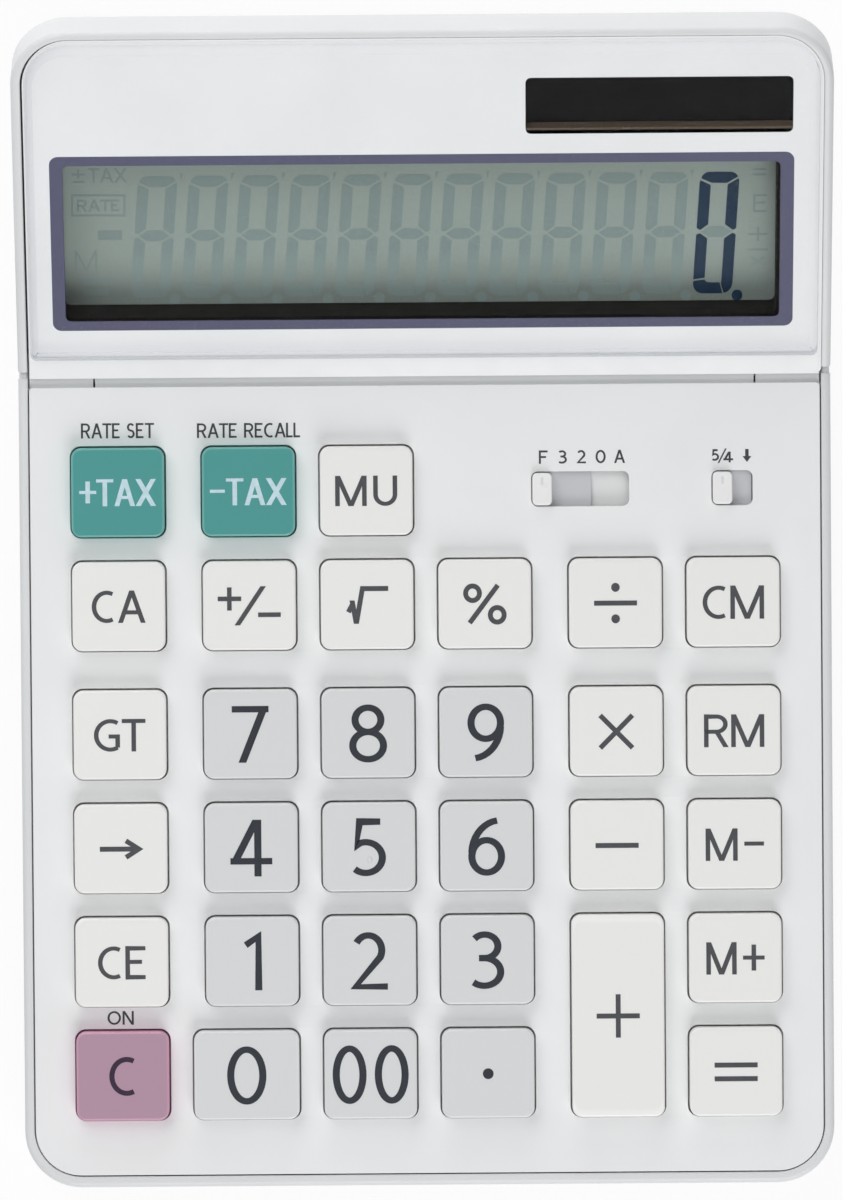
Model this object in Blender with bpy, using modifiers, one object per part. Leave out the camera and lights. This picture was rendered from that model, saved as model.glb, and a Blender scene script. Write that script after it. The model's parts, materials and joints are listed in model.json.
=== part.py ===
"""A desktop calculator with a tilting display, modelled as its separate parts.

Units are metres, +Z is up and the display is at the rear, +Y.  Three frames carry the parts:
the desk frame lies flat; the keyboard frame leans with the top cover, with Y from the cover's
front edge to its rear and Z off its face; the display frame sits on the hinge axis, with X along
the axis, Y up the display and Z off its face.
"""

import math

import bpy
import bmesh
from mathutils import Matrix, Vector

# Body
CORNER_RADIUS = 0.0090
FACE_SLOPE = math.radians(2.5)
SIDE_RIM = 0.0015
FRONT_RIM = 0.00176
PANEL_GAP = 0.0003
CLEARANCE = 0.0003
CASE_WALL = 0.0015
RIM_LEDGE = 0.0006
RIM_ROUND = 0.0009
UNDERSIDE_ROUND = 0.0020
COVER_THICKNESS = 0.0018
COVER_REAR_MARGIN = 0.00878
COVER_REAR_CORNER = 0.0005

# Keys
KEY_SIDE_MARGIN = 0.0065
KEY_FRONT_MARGIN = 0.00883
KEY_WIDTH = 0.0146
KEY_LENGTH = 0.0140
KEY_HEIGHT = 0.0025
KEY_CORNER = 0.0015
KEY_TOP_ROUND = 0.0004
KEY_WALL = 0.0012
KEY_GAP_X = 0.00395
KEY_GAP_Y = 0.00397
GROUP_GAP_X = 0.00202
GROUP_GAP_Y = 0.0023
ZERO_EXTRA_WIDTH = 0.0020
KEY_HOLE_GAP = 0.00025
KEY_HOLE_CORNER = 0.0017
FLANGE_OVERHANG = 0.0004
FLANGE_THICKNESS = 0.0008
POST_WIDTH = 0.0036
POST_DROP = 0.0004

# Slide switches
KNOB_WIDTH = 0.0031
KNOB_LENGTH = 0.0051
KNOB_HEIGHT = 0.0010
KNOB_ROUND = 0.0006
DECIMAL_TRAVEL = 0.0120
ROUNDING_TRAVEL = 0.00306
DECIMAL_SLOT_OFFSET = 0.0054
SLOT_END_GAP = 0.00015
SLOT_SIDE_GAP = 0.0002
SLOT_CORNER = 0.0008
SLOT_FLOOR_THICKNESS = 0.0009
SKIRT_THICKNESS = 0.0006
SKIRT_LENGTH = 0.0075
DECIMAL_SKIRT_REACH = 0.0062
ROUNDING_SKIRT_REACH = 0.0031
SWITCH_BODY_MARGIN = 0.0010

# Dome sheet and board
DOME_HEIGHT = 0.0020
DOME_BASE_RADIUS = 0.0044
DOME_TOP_RADIUS = 0.0025
DOME_WALL = 0.0006
SHEET_THICKNESS = 0.0006
BOARD_THICKNESS = 0.0012
BOARD_FRONT_MARGIN = 0.0030
BOARD_REAR_MARGIN = 0.0014
UNDER_BOARD_GAP = 0.0012

# Case screws
SCREW_SHANK_RADIUS = 0.0007
SCREW_HEAD_RADIUS = 0.0018
SCREW_HEAD_HEIGHT = 0.0010
SCREW_END_DEPTH = 0.0038
BOSS_RADIUS = 0.0018
BOSS_KEY_GAP = 0.0012
BOSS_END_GAP = 0.0003
POST_WALL = 0.0011
SHOULDER_THICKNESS = 0.0012
SCREW_FRONT_PLACE = 0.0046

# Feet and battery
FOOT_RADIUS = 0.0050
FOOT_STAND = 0.0008
FOOT_SEAT = 0.0006
FOOT_INSET_X = 0.0120
FOOT_INSET_Y = 0.0120
FOOT_EDGE_ROUND = 0.0003
BATTERY_RADIUS = 0.0058
BATTERY_HEIGHT = 0.0030
BATTERY_DOOR_WIDTH = 0.0240
BATTERY_DOOR_LENGTH = 0.0170
BATTERY_DOOR_CORNER = 0.0015
CONTACT_THICKNESS = 0.0003
CONTACT_WIDTH = 0.0050
CONTACT_SEAT_LENGTH = 0.0058
CONTACT_DROP_LENGTH = 0.0058
CONTACT_TIP_LENGTH = 0.0029

# Hinge
BARREL_SINK = 0.0006
AXIS_BEHIND_COVER = 0.0015
BARREL_RADIUS = 0.0044
HINGE_GAP = 0.0003
KNUCKLE_LENGTH = 0.0118
KNUCKLE_END_WALL = 0.0021
CHEEK_INSET = 0.00015
CHEEK_GROOVE_DEPTH = 0.0016
PIN_RADIUS = 0.0020
PIN_REACH_BARREL = 0.0062
WASHER_RADIUS = 0.0033
WASHER_THICKNESS = 0.0006

# Display
DISPLAY_TILT = math.radians(22.5)
DISPLAY_SETBACK = 0.0020
DISPLAY_RIM_SETBACK = 0.0011
DISPLAY_REAR_RIM = 0.0013
DISPLAY_REAR_DEPTH = 0.0080
DISPLAY_SLOPE_LENGTH = 0.0167
DISPLAY_BACK_ROUND = 0.0015
LENS_THICKNESS = 0.0017
LENS_SEAT_DEPTH = 0.0008
LENS_STAND = 0.0006
LENS_CHAMFER = 0.0013
LENS_SIDE_LIP = 0.0004
LENS_GAP = 0.00015
LENS_FRONT_LIP = 0.0037
LENS_REAR_LIP = 0.0008
LENS_FRONT_CORNER = 0.0010
WINDOW_SIDE_MARGIN = 0.0079
WINDOW_LOW = 0.0093
WINDOW_LENGTH = 0.02717
WINDOW_MARGIN = 0.0004
WINDOW_CORNER = 0.0009
SOLAR_SIDE_MARGIN = 0.0060
SOLAR_WIDTH = 0.0423
SOLAR_GAP = 0.00353
SOLAR_LENGTH = 0.0108
SOLAR_REAR_MARGIN = 0.0061
LCD_FRAME_WALL = 0.0015
LCD_FRAME_DEPTH = 0.0052
WELL_NEAR_LIP = 0.0007
WELL_RIGHT_LIP = 0.00115
LCD_THICKNESS = 0.0024
LCD_UNDER_GAP = 0.0005
SOLAR_CELL_THICKNESS = 0.0010

# Ribbon cable through the hinge
RIBBON_LEFT = -0.0200
RIBBON_WIDTH = 0.0160
RIBBON_THICKNESS = 0.00025
RIBBON_SLOT_MARGIN = 0.0010
RIBBON_OVER_BOARD = 0.0045
BARREL_SLOT_TOP = -0.0004
BARREL_SLOT_BOTTOM = -0.0026
TROUGH_SLOT_TOP = -0.0006
TROUGH_SLOT_BOTTOM = -0.0044

# Shared by every cut and every round shape
OVERRUN = 0.0010
MERGE_DISTANCE = 0.000001
CORNER_STEPS = 12
SMALL_CORNER_STEPS = 3
ROUND_SIDES = 32
SMALL_ROUND_SIDES = 16
DOME_SIDES = 8
KEY_TOP_STEPS = 1
SMOOTH_ANGLE = math.radians(35)
ROUND_PROFILE_SHARE = 0.5
UPRIGHT_LEAN_SHARE = 0.01
LEVEL_NORMAL_SHARE = 0.5
FLAT_NORMAL_SHARE = 0.9
SIDE_NORMAL_SHARE = 0.2

# Heights off the keyboard face, from the cover down to the board
COVER_UNDER = -COVER_THICKNESS
FLANGE_TOP = COVER_UNDER - CLEARANCE
FLANGE_UNDER = FLANGE_TOP - FLANGE_THICKNESS
POST_END = FLANGE_UNDER - POST_DROP
DOME_TOP = POST_END - CLEARANCE
SHEET_TOP = DOME_TOP - DOME_HEIGHT
SHEET_UNDER = SHEET_TOP - SHEET_THICKNESS
BOARD_TOP = SHEET_UNDER - CLEARANCE
BOARD_UNDER = BOARD_TOP - BOARD_THICKNESS
POST_TOP = BOARD_UNDER - CLEARANCE
SHOULDER_UNDER = POST_TOP - SHOULDER_THICKNESS
SKIRT_TOP = -SLOT_FLOOR_THICKNESS - CLEARANCE
SKIRT_UNDER = SKIRT_TOP - SKIRT_THICKNESS
FLOOR_TOP = FOOT_STAND + CASE_WALL
FRONT_HEIGHT = FLOOR_TOP + UNDER_BOARD_GAP - BOARD_UNDER

# Key places: six columns in three groups, six rows in two groups
KEY_PITCH_X = KEY_WIDTH + KEY_GAP_X
KEY_PITCH_Y = KEY_LENGTH + KEY_GAP_Y
FIRST_ROW = KEY_FRONT_MARGIN + KEY_LENGTH / 2
COLUMN_STEPS = [KEY_PITCH_X + GROUP_GAP_X, KEY_PITCH_X, KEY_PITCH_X, KEY_PITCH_X + GROUP_GAP_X, KEY_PITCH_X]
COLUMNS = [sum(COLUMN_STEPS[:count]) - sum(COLUMN_STEPS) / 2 for count in range(len(COLUMN_STEPS) + 1)]
ROW_STEPS = [KEY_PITCH_Y, KEY_PITCH_Y, KEY_PITCH_Y, KEY_PITCH_Y + GROUP_GAP_Y, KEY_PITCH_Y]
ROWS = [FIRST_ROW + sum(ROW_STEPS[:count]) for count in range(len(ROW_STEPS) + 1)]
ROWS.reverse()

# Outlines that follow from the sizes above
COVER_WIDTH = sum(COLUMN_STEPS) + KEY_WIDTH + 2 * KEY_SIDE_MARGIN
HALF_WIDTH = COVER_WIDTH / 2 + PANEL_GAP + SIDE_RIM
COVER_CORNER = CORNER_RADIUS - SIDE_RIM - PANEL_GAP
FLANGE_EDGE = KEY_HOLE_GAP + FLANGE_OVERHANG
COVER_LENGTH = ROWS[0] + KEY_LENGTH / 2 + FLANGE_EDGE + COVER_REAR_MARGIN
AXIS_PLACE = COVER_LENGTH + AXIS_BEHIND_COVER
AXIS_DEPTH = BARREL_RADIUS + BARREL_SINK
SWEEP_RADIUS = BARREL_RADIUS + HINGE_GAP
CHEEK_RADIUS = AXIS_DEPTH - CHEEK_INSET
CHEEK_START = HALF_WIDTH - SIDE_RIM
CHEEK_END = HALF_WIDTH - CHEEK_INSET
SCREW_X = (COLUMNS[1] - COLUMNS[0]) / 2 - COLUMNS[1]
SCREW_REAR_PLACE = ROWS[1] + KEY_LENGTH / 2 + FLANGE_EDGE + BOSS_RADIUS + BOSS_KEY_GAP
SCREW_PLACES = [(side * SCREW_X, y) for y in (SCREW_FRONT_PLACE, SCREW_REAR_PLACE) for side in (-1, 1)]
CAVITY_END = AXIS_PLACE - SWEEP_RADIUS - CASE_WALL
BATTERY_PLACE_X = (COLUMNS[1] + COLUMNS[2]) / 2
BATTERY_PLACE_Y = ROWS[1]
WINDOW_HALF_WIDTH = HALF_WIDTH - WINDOW_SIDE_MARGIN
WINDOW_HIGH = WINDOW_LOW + WINDOW_LENGTH
SOLAR_RIGHT = HALF_WIDTH - SOLAR_SIDE_MARGIN
SOLAR_LEFT = SOLAR_RIGHT - SOLAR_WIDTH
SOLAR_LOW = WINDOW_HIGH + SOLAR_GAP
SOLAR_HIGH = SOLAR_LOW + SOLAR_LENGTH
DISPLAY_END = DISPLAY_SETBACK + SOLAR_HIGH + SOLAR_REAR_MARGIN
DISPLAY_OUTER_END = DISPLAY_END + PANEL_GAP + DISPLAY_REAR_RIM
DISPLAY_WALL_START = DISPLAY_SETBACK - CASE_WALL
DISPLAY_DEEP_END = DISPLAY_OUTER_END - DISPLAY_SLOPE_LENGTH
FRAME_TOP = AXIS_DEPTH - COVER_THICKNESS - CLEARANCE
FRAME_UNDER = FRAME_TOP - LCD_FRAME_DEPTH
LCD_TOP = FRAME_UNDER - CLEARANCE
DISPLAY_BACK = LCD_TOP - LCD_THICKNESS - LCD_UNDER_GAP - CASE_WALL
DISPLAY_DEPTH = AXIS_DEPTH - DISPLAY_BACK
LENS_UNDER = AXIS_DEPTH - LENS_SEAT_DEPTH + CLEARANCE


def clear_scene():
    """Removes every object that the scene starts with."""
    for thing in list(bpy.data.objects):
        bpy.data.objects.remove(thing, do_unlink=True)


def new_collection(name):
    """Adds a collection to the scene."""
    collection = bpy.data.collections.new(name)
    bpy.context.scene.collection.children.link(collection)
    return collection


clear_scene()
PARTS = new_collection("desktop_calculator")
CUTTERS = new_collection("cutters")


def finish(name, colour, roughness, metallic=0.0):
    """A plain material with one colour, roughness and metallic value."""
    material = bpy.data.materials.new(name)
    material.use_nodes = True
    shader = material.node_tree.nodes["Principled BSDF"]
    shader.inputs["Base Color"].default_value = (*colour, 1.0)
    shader.inputs["Roughness"].default_value = roughness
    shader.inputs["Metallic"].default_value = metallic
    material.diffuse_color = (*colour, 1.0)
    return material


def new_frame(name, parent, location, tilt=0.0):
    """An empty that parts are placed in, turned about X by its tilt."""
    empty = bpy.data.objects.new(name, None)
    empty.parent = parent
    empty.location = location
    empty.rotation_euler = (tilt, 0, 0)
    PARTS.objects.link(empty)
    return empty


def add_part(name, mesh, parent, location, material):
    """Adds a part, with its material on the object so that parts may share a mesh."""
    part = bpy.data.objects.new(name, mesh)
    part.parent = parent
    part.location = location
    if not mesh.materials:
        mesh.materials.append(None)
    part.material_slots[0].link = "OBJECT"
    part.material_slots[0].material = material
    PARTS.objects.link(part)
    return part


def add_cutter(name, mesh, parent, location=(0, 0, 0)):
    """Adds a cutter, which shows as wire and is left out of renders."""
    cutter = bpy.data.objects.new(name, mesh)
    cutter.parent = parent
    cutter.location = location
    cutter.hide_render = True
    cutter.display_type = "WIRE"
    CUTTERS.objects.link(cutter)
    return cutter


def combine(part, other, operation, close_fit=False):
    """Adds a Boolean modifier of part with another object, with more careful cuts at a close fit."""
    modifier = part.modifiers.new(other.name, "BOOLEAN")
    modifier.operation = operation
    modifier.object = other
    modifier.solver = "EXACT"
    modifier.use_self = close_fit
    return part


def finished_mesh(name, bm, smooth=False):
    """Turns a bmesh into mesh data, shaded smooth where asked."""
    bmesh.ops.recalc_face_normals(bm, faces=bm.faces)
    mesh = bpy.data.meshes.new(name)
    bm.to_mesh(mesh)
    bm.free()
    if smooth:
        mesh.shade_smooth()
        mesh.set_sharp_from_angle(angle=SMOOTH_ANGLE)
    return mesh


def add_box(bm, low, high):
    """Adds a box with its corners exactly at the given places and gives back its vertices."""
    low, high = Vector(low), Vector(high)
    middle = (low + high) / 2
    size = Matrix.Diagonal((*(high - low), 1))
    verts = bmesh.ops.create_cube(bm, size=1, matrix=Matrix.Translation(middle) @ size)["verts"]
    for vert in verts:
        vert.co = [near if place < half else far for place, half, near, far in zip(vert.co, middle, low, high)]
    return verts


def upright_edges(verts, chosen=None):
    """The edges among the vertices that run along Z, where the test holds for their place."""
    edges = {edge for vert in verts for edge in vert.link_edges}
    found = []
    for edge in edges:
        first, second = (vert.co for vert in edge.verts)
        upright = (first - second).to_2d().length < abs(first.z - second.z) * UPRIGHT_LEAN_SHARE
        if upright and (chosen is None or chosen(first)):
            found.append(edge)
    return found


def round_edges(bm, edges, radius, steps, limited=True):
    """Rounds edges with a bevel of a round profile, drawn in where edges are short unless told otherwise."""
    bmesh.ops.bevel(
        bm,
        geom=edges,
        offset=radius,
        segments=steps,
        profile=ROUND_PROFILE_SHARE,
        affect="EDGES",
        clamp_overlap=limited,
    )


def add_round_box(bm, low, high, radius, steps=SMALL_CORNER_STEPS):
    """Adds a box with its four upright edges rounded."""
    verts = add_box(bm, low, high)
    round_edges(bm, upright_edges(verts), radius, steps)


def add_plate(bm, low, high, near_radius, far_radius, near_steps=CORNER_STEPS, far_steps=CORNER_STEPS):
    """Adds a box whose upright edges have one radius at low Y and another at high Y."""
    middle = (low[1] + high[1]) / 2
    verts = add_box(bm, low, high)
    near = upright_edges(verts, lambda place: place.y < middle)
    far = upright_edges(verts, lambda place: place.y > middle)
    if near_radius > 0:
        round_edges(bm, near, near_radius, near_steps)
    if far_radius > 0:
        round_edges(bm, far, far_radius, far_steps)


def inset(bm, face, width):
    """Draws a face's edges in by one width all round."""
    bmesh.ops.inset_region(bm, faces=[face], thickness=width, use_even_offset=True)


def add_rod(bm, radius, low_z, high_z, place=(0, 0), sides=ROUND_SIDES, top_radius=None):
    """Adds a rod or cone along Z between two heights."""
    depth = high_z - low_z
    middle = Vector((place[0], place[1], (low_z + high_z) / 2))
    bmesh.ops.create_cone(
        bm,
        cap_ends=True,
        segments=sides,
        radius1=radius,
        radius2=radius if top_radius is None else top_radius,
        depth=depth,
        matrix=Matrix.Translation(middle),
    )


def add_axle(bm, radius, low_x, high_x, sides=ROUND_SIDES):
    """Adds a rod along the X axis, its ends exactly at two places and the middle of a flat on top."""
    turn = Matrix.Rotation(math.pi / 2, 4, "Y") @ Matrix.Rotation(math.pi / sides, 4, "Z")
    middle = (low_x + high_x) / 2
    place = Matrix.Translation((middle, 0, 0))
    depth = high_x - low_x
    rod = bmesh.ops.create_cone(
        bm, cap_ends=True, segments=sides, radius1=radius, radius2=radius, depth=depth, matrix=place @ turn
    )
    for vert in rod["verts"]:
        vert.co.x = low_x if vert.co.x < middle else high_x


def trim(bm, point, normal):
    """Cuts off what lies beyond a plane and closes the cut."""
    cut = bmesh.ops.bisect_plane(
        bm,
        geom=bm.verts[:] + bm.edges[:] + bm.faces[:],
        dist=0,
        plane_co=point,
        plane_no=normal,
        clear_outer=True,
    )
    edges = [item for item in cut["geom_cut"] if isinstance(item, bmesh.types.BMEdge)]
    bmesh.ops.edgenet_fill(bm, edges=edges)
    bmesh.ops.recalc_face_normals(bm, faces=bm.faces)


def round_rim(bm, open_end):
    """Rounds the outer edges of a block's top, but not the edge along its open end."""
    top = max(vert.co.z for vert in bm.verts)
    edges = []
    for edge in bm.edges:
        low = min(vert.co.z for vert in edge.verts)
        off_end = max(abs(vert.co.y - open_end) for vert in edge.verts)
        if low > top - MERGE_DISTANCE and off_end > MERGE_DISTANCE:
            edges.append(edge)
    round_edges(bm, edges, RIM_ROUND, SMALL_CORNER_STEPS, limited=False)


def round_underside(bm, radius, steps, beyond=-math.inf):
    """Rounds the edges, past a place along Y, where a face that looks down meets one that looks sideways."""
    bmesh.ops.recalc_face_normals(bm, faces=bm.faces)
    edges = []
    for edge in bm.edges:
        slopes = sorted(face.normal.z for face in edge.link_faces)
        if slopes[0] < -FLAT_NORMAL_SHARE and slopes[1] > -SIDE_NORMAL_SHARE:
            if max(vert.co.y for vert in edge.verts) > beyond:
                edges.append(edge)
    round_edges(bm, edges, radius, steps, limited=False)


def leaning(place, height):
    """A point of the desk frame, at a place behind the cover's front edge, in the keyboard frame."""
    point = Vector((0, place, height - FRONT_HEIGHT))
    return Matrix.Rotation(-FACE_SLOPE, 3, "X") @ point


def trim_floor(bm, height):
    """Cuts a solid of the keyboard frame off level with the desk."""
    down = Matrix.Rotation(-FACE_SLOPE, 3, "X") @ Vector((0, 0, -1))
    trim(bm, leaning(0, height), down)


def floor_depth(y, height):
    """How far off the keyboard face a level surface lies at a place along the cover."""
    return (height - FRONT_HEIGHT - y * math.sin(FACE_SLOPE)) / math.cos(FACE_SLOPE)


def strip_mesh(name, points, left, width):
    """An open strip along points in the YZ plane, whose thickness a Solidify modifier gives."""
    bm = bmesh.new()
    verts = [bm.verts.new((left, y, z)) for y, z in points]
    edges = [bm.edges.new(pair) for pair in zip(verts, verts[1:])]
    side = bmesh.ops.extrude_edge_only(bm, edges=edges)["geom"]
    moved = [item for item in side if isinstance(item, bmesh.types.BMVert)]
    bmesh.ops.translate(bm, verts=moved, vec=(width, 0, 0))
    return finished_mesh(name, bm)


def thicken(part, thickness):
    """Gives an open strip its thickness, half to each side."""
    modifier = part.modifiers.new("thickness", "SOLIDIFY")
    modifier.thickness = thickness
    modifier.offset = 0
    modifier.use_even_offset = True
    return part


WHITE_CASE = finish("case_white", (0.84, 0.84, 0.84), 0.35)
WHITE_COVER = finish("cover_white", (0.86, 0.86, 0.87), 0.30)
WHITE_KEY = finish("key_white", (0.88, 0.88, 0.86), 0.30)
GREY_KEY = finish("key_pale_grey", (0.70, 0.71, 0.72), 0.30)
TEAL_KEY = finish("key_teal", (0.09, 0.34, 0.31), 0.28)
MAUVE_KEY = finish("key_mauve", (0.49, 0.28, 0.40), 0.28)
WHITE_KNOB = finish("knob_white", (0.86, 0.86, 0.86), 0.35)
CLEAR_LENS = finish("lens_clear", (0.90, 0.90, 0.91), 0.05)
DARK_WELL = finish("well_dark", (0.02, 0.02, 0.02), 0.60)
LCD_GREY = finish("lcd_grey", (0.26, 0.31, 0.26), 0.25)
SOLAR_BLACK = finish("solar_black", (0.01, 0.01, 0.01), 0.15)
BOARD_GREEN = finish("board_green", (0.05, 0.22, 0.10), 0.50)
SHEET_RUBBER = finish("sheet_rubber", (0.45, 0.46, 0.48), 0.70)
RIBBON_FILM = finish("ribbon_film", (0.55, 0.35, 0.12), 0.40)
STEEL = finish("steel", (0.60, 0.60, 0.61), 0.30, 1.0)
SPRING_STEEL = finish("spring_steel", (0.68, 0.66, 0.60), 0.35, 1.0)
CELL_STEEL = finish("cell_steel", (0.70, 0.70, 0.70), 0.20, 1.0)
WASHER_PLASTIC = finish("washer_plastic", (0.12, 0.12, 0.13), 0.50)
FOOT_RUBBER = finish("foot_rubber", (0.06, 0.06, 0.065), 0.80)

DESK = new_frame("desk_frame", None, (0, 0, 0))
KEYBOARD = new_frame("keyboard_frame", DESK, (0, 0, FRONT_HEIGHT), FACE_SLOPE)
DISPLAY = new_frame("display_frame", KEYBOARD, (0, AXIS_PLACE, -AXIS_DEPTH), DISPLAY_TILT)


def hinge_rods(name, parent, radius, spans, sides=ROUND_SIDES):
    """A cutter or joining piece of rods on the hinge axis, one for each span of X."""
    bm = bmesh.new()
    for low_x, high_x in spans:
        add_axle(bm, radius, low_x, high_x, sides)
    return add_cutter(name, finished_mesh(name, bm), parent)


def both_sides(inner, outer):
    """The two spans of X, left and right, between two distances from the middle."""
    return [(-outer, -inner), (inner, outer)]


HINGE = new_frame("hinge_frame", KEYBOARD, (0, AXIS_PLACE, -AXIS_DEPTH))
KNUCKLE_START = HALF_WIDTH - KNUCKLE_LENGTH
BARREL_END = KNUCKLE_START - HINGE_GAP
PIN_END = HALF_WIDTH - KNUCKLE_END_WALL - CLEARANCE


def casing_body():
    """The solid block that the casing is hollowed from."""
    bm = bmesh.new()
    deep = floor_depth(AXIS_PLACE, 0) - OVERRUN
    front = -PANEL_GAP - FRONT_RIM
    add_plate(bm, (-HALF_WIDTH, front, deep), (HALF_WIDTH, AXIS_PLACE, 0), CORNER_RADIUS, 0)
    round_rim(bm, AXIS_PLACE)
    trim_floor(bm, FOOT_STAND)
    round_underside(bm, UNDERSIDE_ROUND, SMALL_CORNER_STEPS)
    return finished_mesh("bottom_casing", bm, smooth=True)


def cover_seat():
    """The recess in the rim that takes the top cover."""
    half = HALF_WIDTH - SIDE_RIM
    bm = bmesh.new()
    low = (-half, -PANEL_GAP, FLANGE_TOP)
    high = (half, COVER_LENGTH + OVERRUN, OVERRUN)
    add_plate(bm, low, high, CORNER_RADIUS - SIDE_RIM, 0)
    return add_cutter("cover_seat", finished_mesh("cover_seat", bm), KEYBOARD)


def main_cavity():
    """The hollow under the cover, down to the level floor."""
    half = HALF_WIDTH - SIDE_RIM - RIM_LEDGE
    bm = bmesh.new()
    low = (-half, RIM_LEDGE - PANEL_GAP, floor_depth(AXIS_PLACE, 0))
    high = (half, CAVITY_END, OVERRUN)
    add_plate(bm, low, high, CORNER_RADIUS - SIDE_RIM - RIM_LEDGE, 0)
    trim_floor(bm, FLOOR_TOP)
    return add_cutter("main_cavity", finished_mesh("main_cavity", bm), KEYBOARD)


def rear_cavity():
    """The hollow that runs on under the hinge trough."""
    half = HALF_WIDTH - SIDE_RIM - RIM_LEDGE - CLEARANCE
    bm = bmesh.new()
    top = -AXIS_DEPTH - SWEEP_RADIUS - CASE_WALL
    low = (-half, CAVITY_END - OVERRUN, floor_depth(AXIS_PLACE, 0))
    high = (half, AXIS_PLACE - CASE_WALL, top)
    add_box(bm, low, high)
    trim_floor(bm, FLOOR_TOP + CLEARANCE)
    return add_cutter("rear_cavity", finished_mesh("rear_cavity", bm), KEYBOARD)


def rear_notch():
    """The opening behind the cover, between the rims, that the display's lower edge swings in."""
    bm = bmesh.new()
    low = (-CHEEK_START, COVER_LENGTH, -AXIS_DEPTH)
    high = (CHEEK_START, AXIS_PLACE + OVERRUN, OVERRUN)
    add_box(bm, low, high)
    return add_cutter("rear_notch", finished_mesh("rear_notch", bm), KEYBOARD)


def hinge_cheeks():
    """The rounded ends that carry the side rims on round the hinge axis, just inside the casing's faces."""
    bm = bmesh.new()
    for low_x, high_x in both_sides(CHEEK_START - PANEL_GAP / 2, CHEEK_END):
        add_axle(bm, CHEEK_RADIUS, low_x, high_x)
    beyond = CHEEK_END - MERGE_DISTANCE
    rings = [edge for edge in bm.edges if min(abs(vert.co.x) for vert in edge.verts) > beyond]
    round_edges(bm, rings, RIM_ROUND, SMALL_CORNER_STEPS)
    return add_cutter("hinge_cheeks", finished_mesh("hinge_cheeks", bm), HINGE)


def cheek_grooves():
    """The narrow grooves that part the knuckles from the rims beside them."""
    bm = bmesh.new()
    top = AXIS_PLACE + BARREL_RADIUS + OVERRUN
    for low_x, high_x in both_sides(CHEEK_START - PANEL_GAP, CHEEK_START):
        add_box(bm, (low_x, COVER_LENGTH, -CHEEK_GROOVE_DEPTH), (high_x, top, OVERRUN))
    return add_cutter("cheek_grooves", finished_mesh("cheek_grooves", bm), KEYBOARD)


def screw_posts():
    """The posts that stand on the floor under the board, one round each case screw."""
    bm = bmesh.new()
    radius = SCREW_HEAD_RADIUS + CLEARANCE + POST_WALL
    for x, y in SCREW_PLACES:
        base = floor_depth(y, FOOT_STAND + CASE_WALL / 2)
        add_rod(bm, radius, base, POST_TOP, (x, y), SMALL_ROUND_SIDES)
    return add_cutter("screw_posts", finished_mesh("screw_posts", bm), KEYBOARD)


def screw_wells():
    """The wells that the screw heads sink into from below."""
    bm = bmesh.new()
    for x, y in SCREW_PLACES:
        base = floor_depth(y, 0)
        add_rod(bm, SCREW_HEAD_RADIUS + CLEARANCE, base, SHOULDER_UNDER, (x, y), SMALL_ROUND_SIDES)
    return add_cutter("screw_wells", finished_mesh("screw_wells", bm), KEYBOARD)


def screw_holes():
    """The holes for the screw shanks through the posts' shoulders."""
    bm = bmesh.new()
    radius = SCREW_SHANK_RADIUS + CLEARANCE
    for place in SCREW_PLACES:
        add_rod(bm, radius, SHOULDER_UNDER - CLEARANCE, POST_TOP + CLEARANCE, place, SMALL_ROUND_SIDES)
    return add_cutter("screw_holes", finished_mesh("screw_holes", bm), KEYBOARD)


def foot_places():
    """The centres of the four feet in the desk frame."""
    x = HALF_WIDTH - FOOT_INSET_X
    rear = AXIS_PLACE * math.cos(FACE_SLOPE) - FOOT_INSET_Y
    front = FOOT_INSET_Y - FRONT_RIM
    return {
        "front_left": (-x, front),
        "front_right": (x, front),
        "rear_left": (-x, rear),
        "rear_right": (x, rear),
    }


def foot_pockets():
    """The shallow pockets that the feet are stuck into."""
    bm = bmesh.new()
    top = FOOT_STAND + FOOT_SEAT
    for place in foot_places().values():
        add_rod(bm, FOOT_RADIUS + CLEARANCE, 0, top, place)
    return add_cutter("foot_pockets", finished_mesh("foot_pockets", bm), DESK)


def battery_opening():
    """The opening in the floor that the battery cover fills."""
    bm = bmesh.new()
    half = Vector((BATTERY_DOOR_WIDTH / 2 + CLEARANCE, BATTERY_DOOR_LENGTH / 2 + CLEARANCE))
    centre = Vector((BATTERY_PLACE_X, BATTERY_PLACE_Y))
    low, high = centre - half, centre + half
    add_round_box(bm, (*low, 0), (*high, FLOOR_TOP + OVERRUN), BATTERY_DOOR_CORNER + CLEARANCE)
    return add_cutter("battery_opening", finished_mesh("battery_opening", bm), DESK)


def trough_slot():
    """The slot that lets the ribbon cable out of the casing into the barrel."""
    bm = bmesh.new()
    low_x = RIBBON_LEFT - RIBBON_SLOT_MARGIN
    high_x = RIBBON_LEFT + RIBBON_WIDTH + RIBBON_SLOT_MARGIN
    low = (low_x, -SWEEP_RADIUS - CASE_WALL - OVERRUN, TROUGH_SLOT_BOTTOM)
    add_box(bm, low, (high_x, -BARREL_RADIUS / 2, TROUGH_SLOT_TOP))
    return add_cutter("trough_slot", finished_mesh("trough_slot", bm), HINGE)


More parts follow.
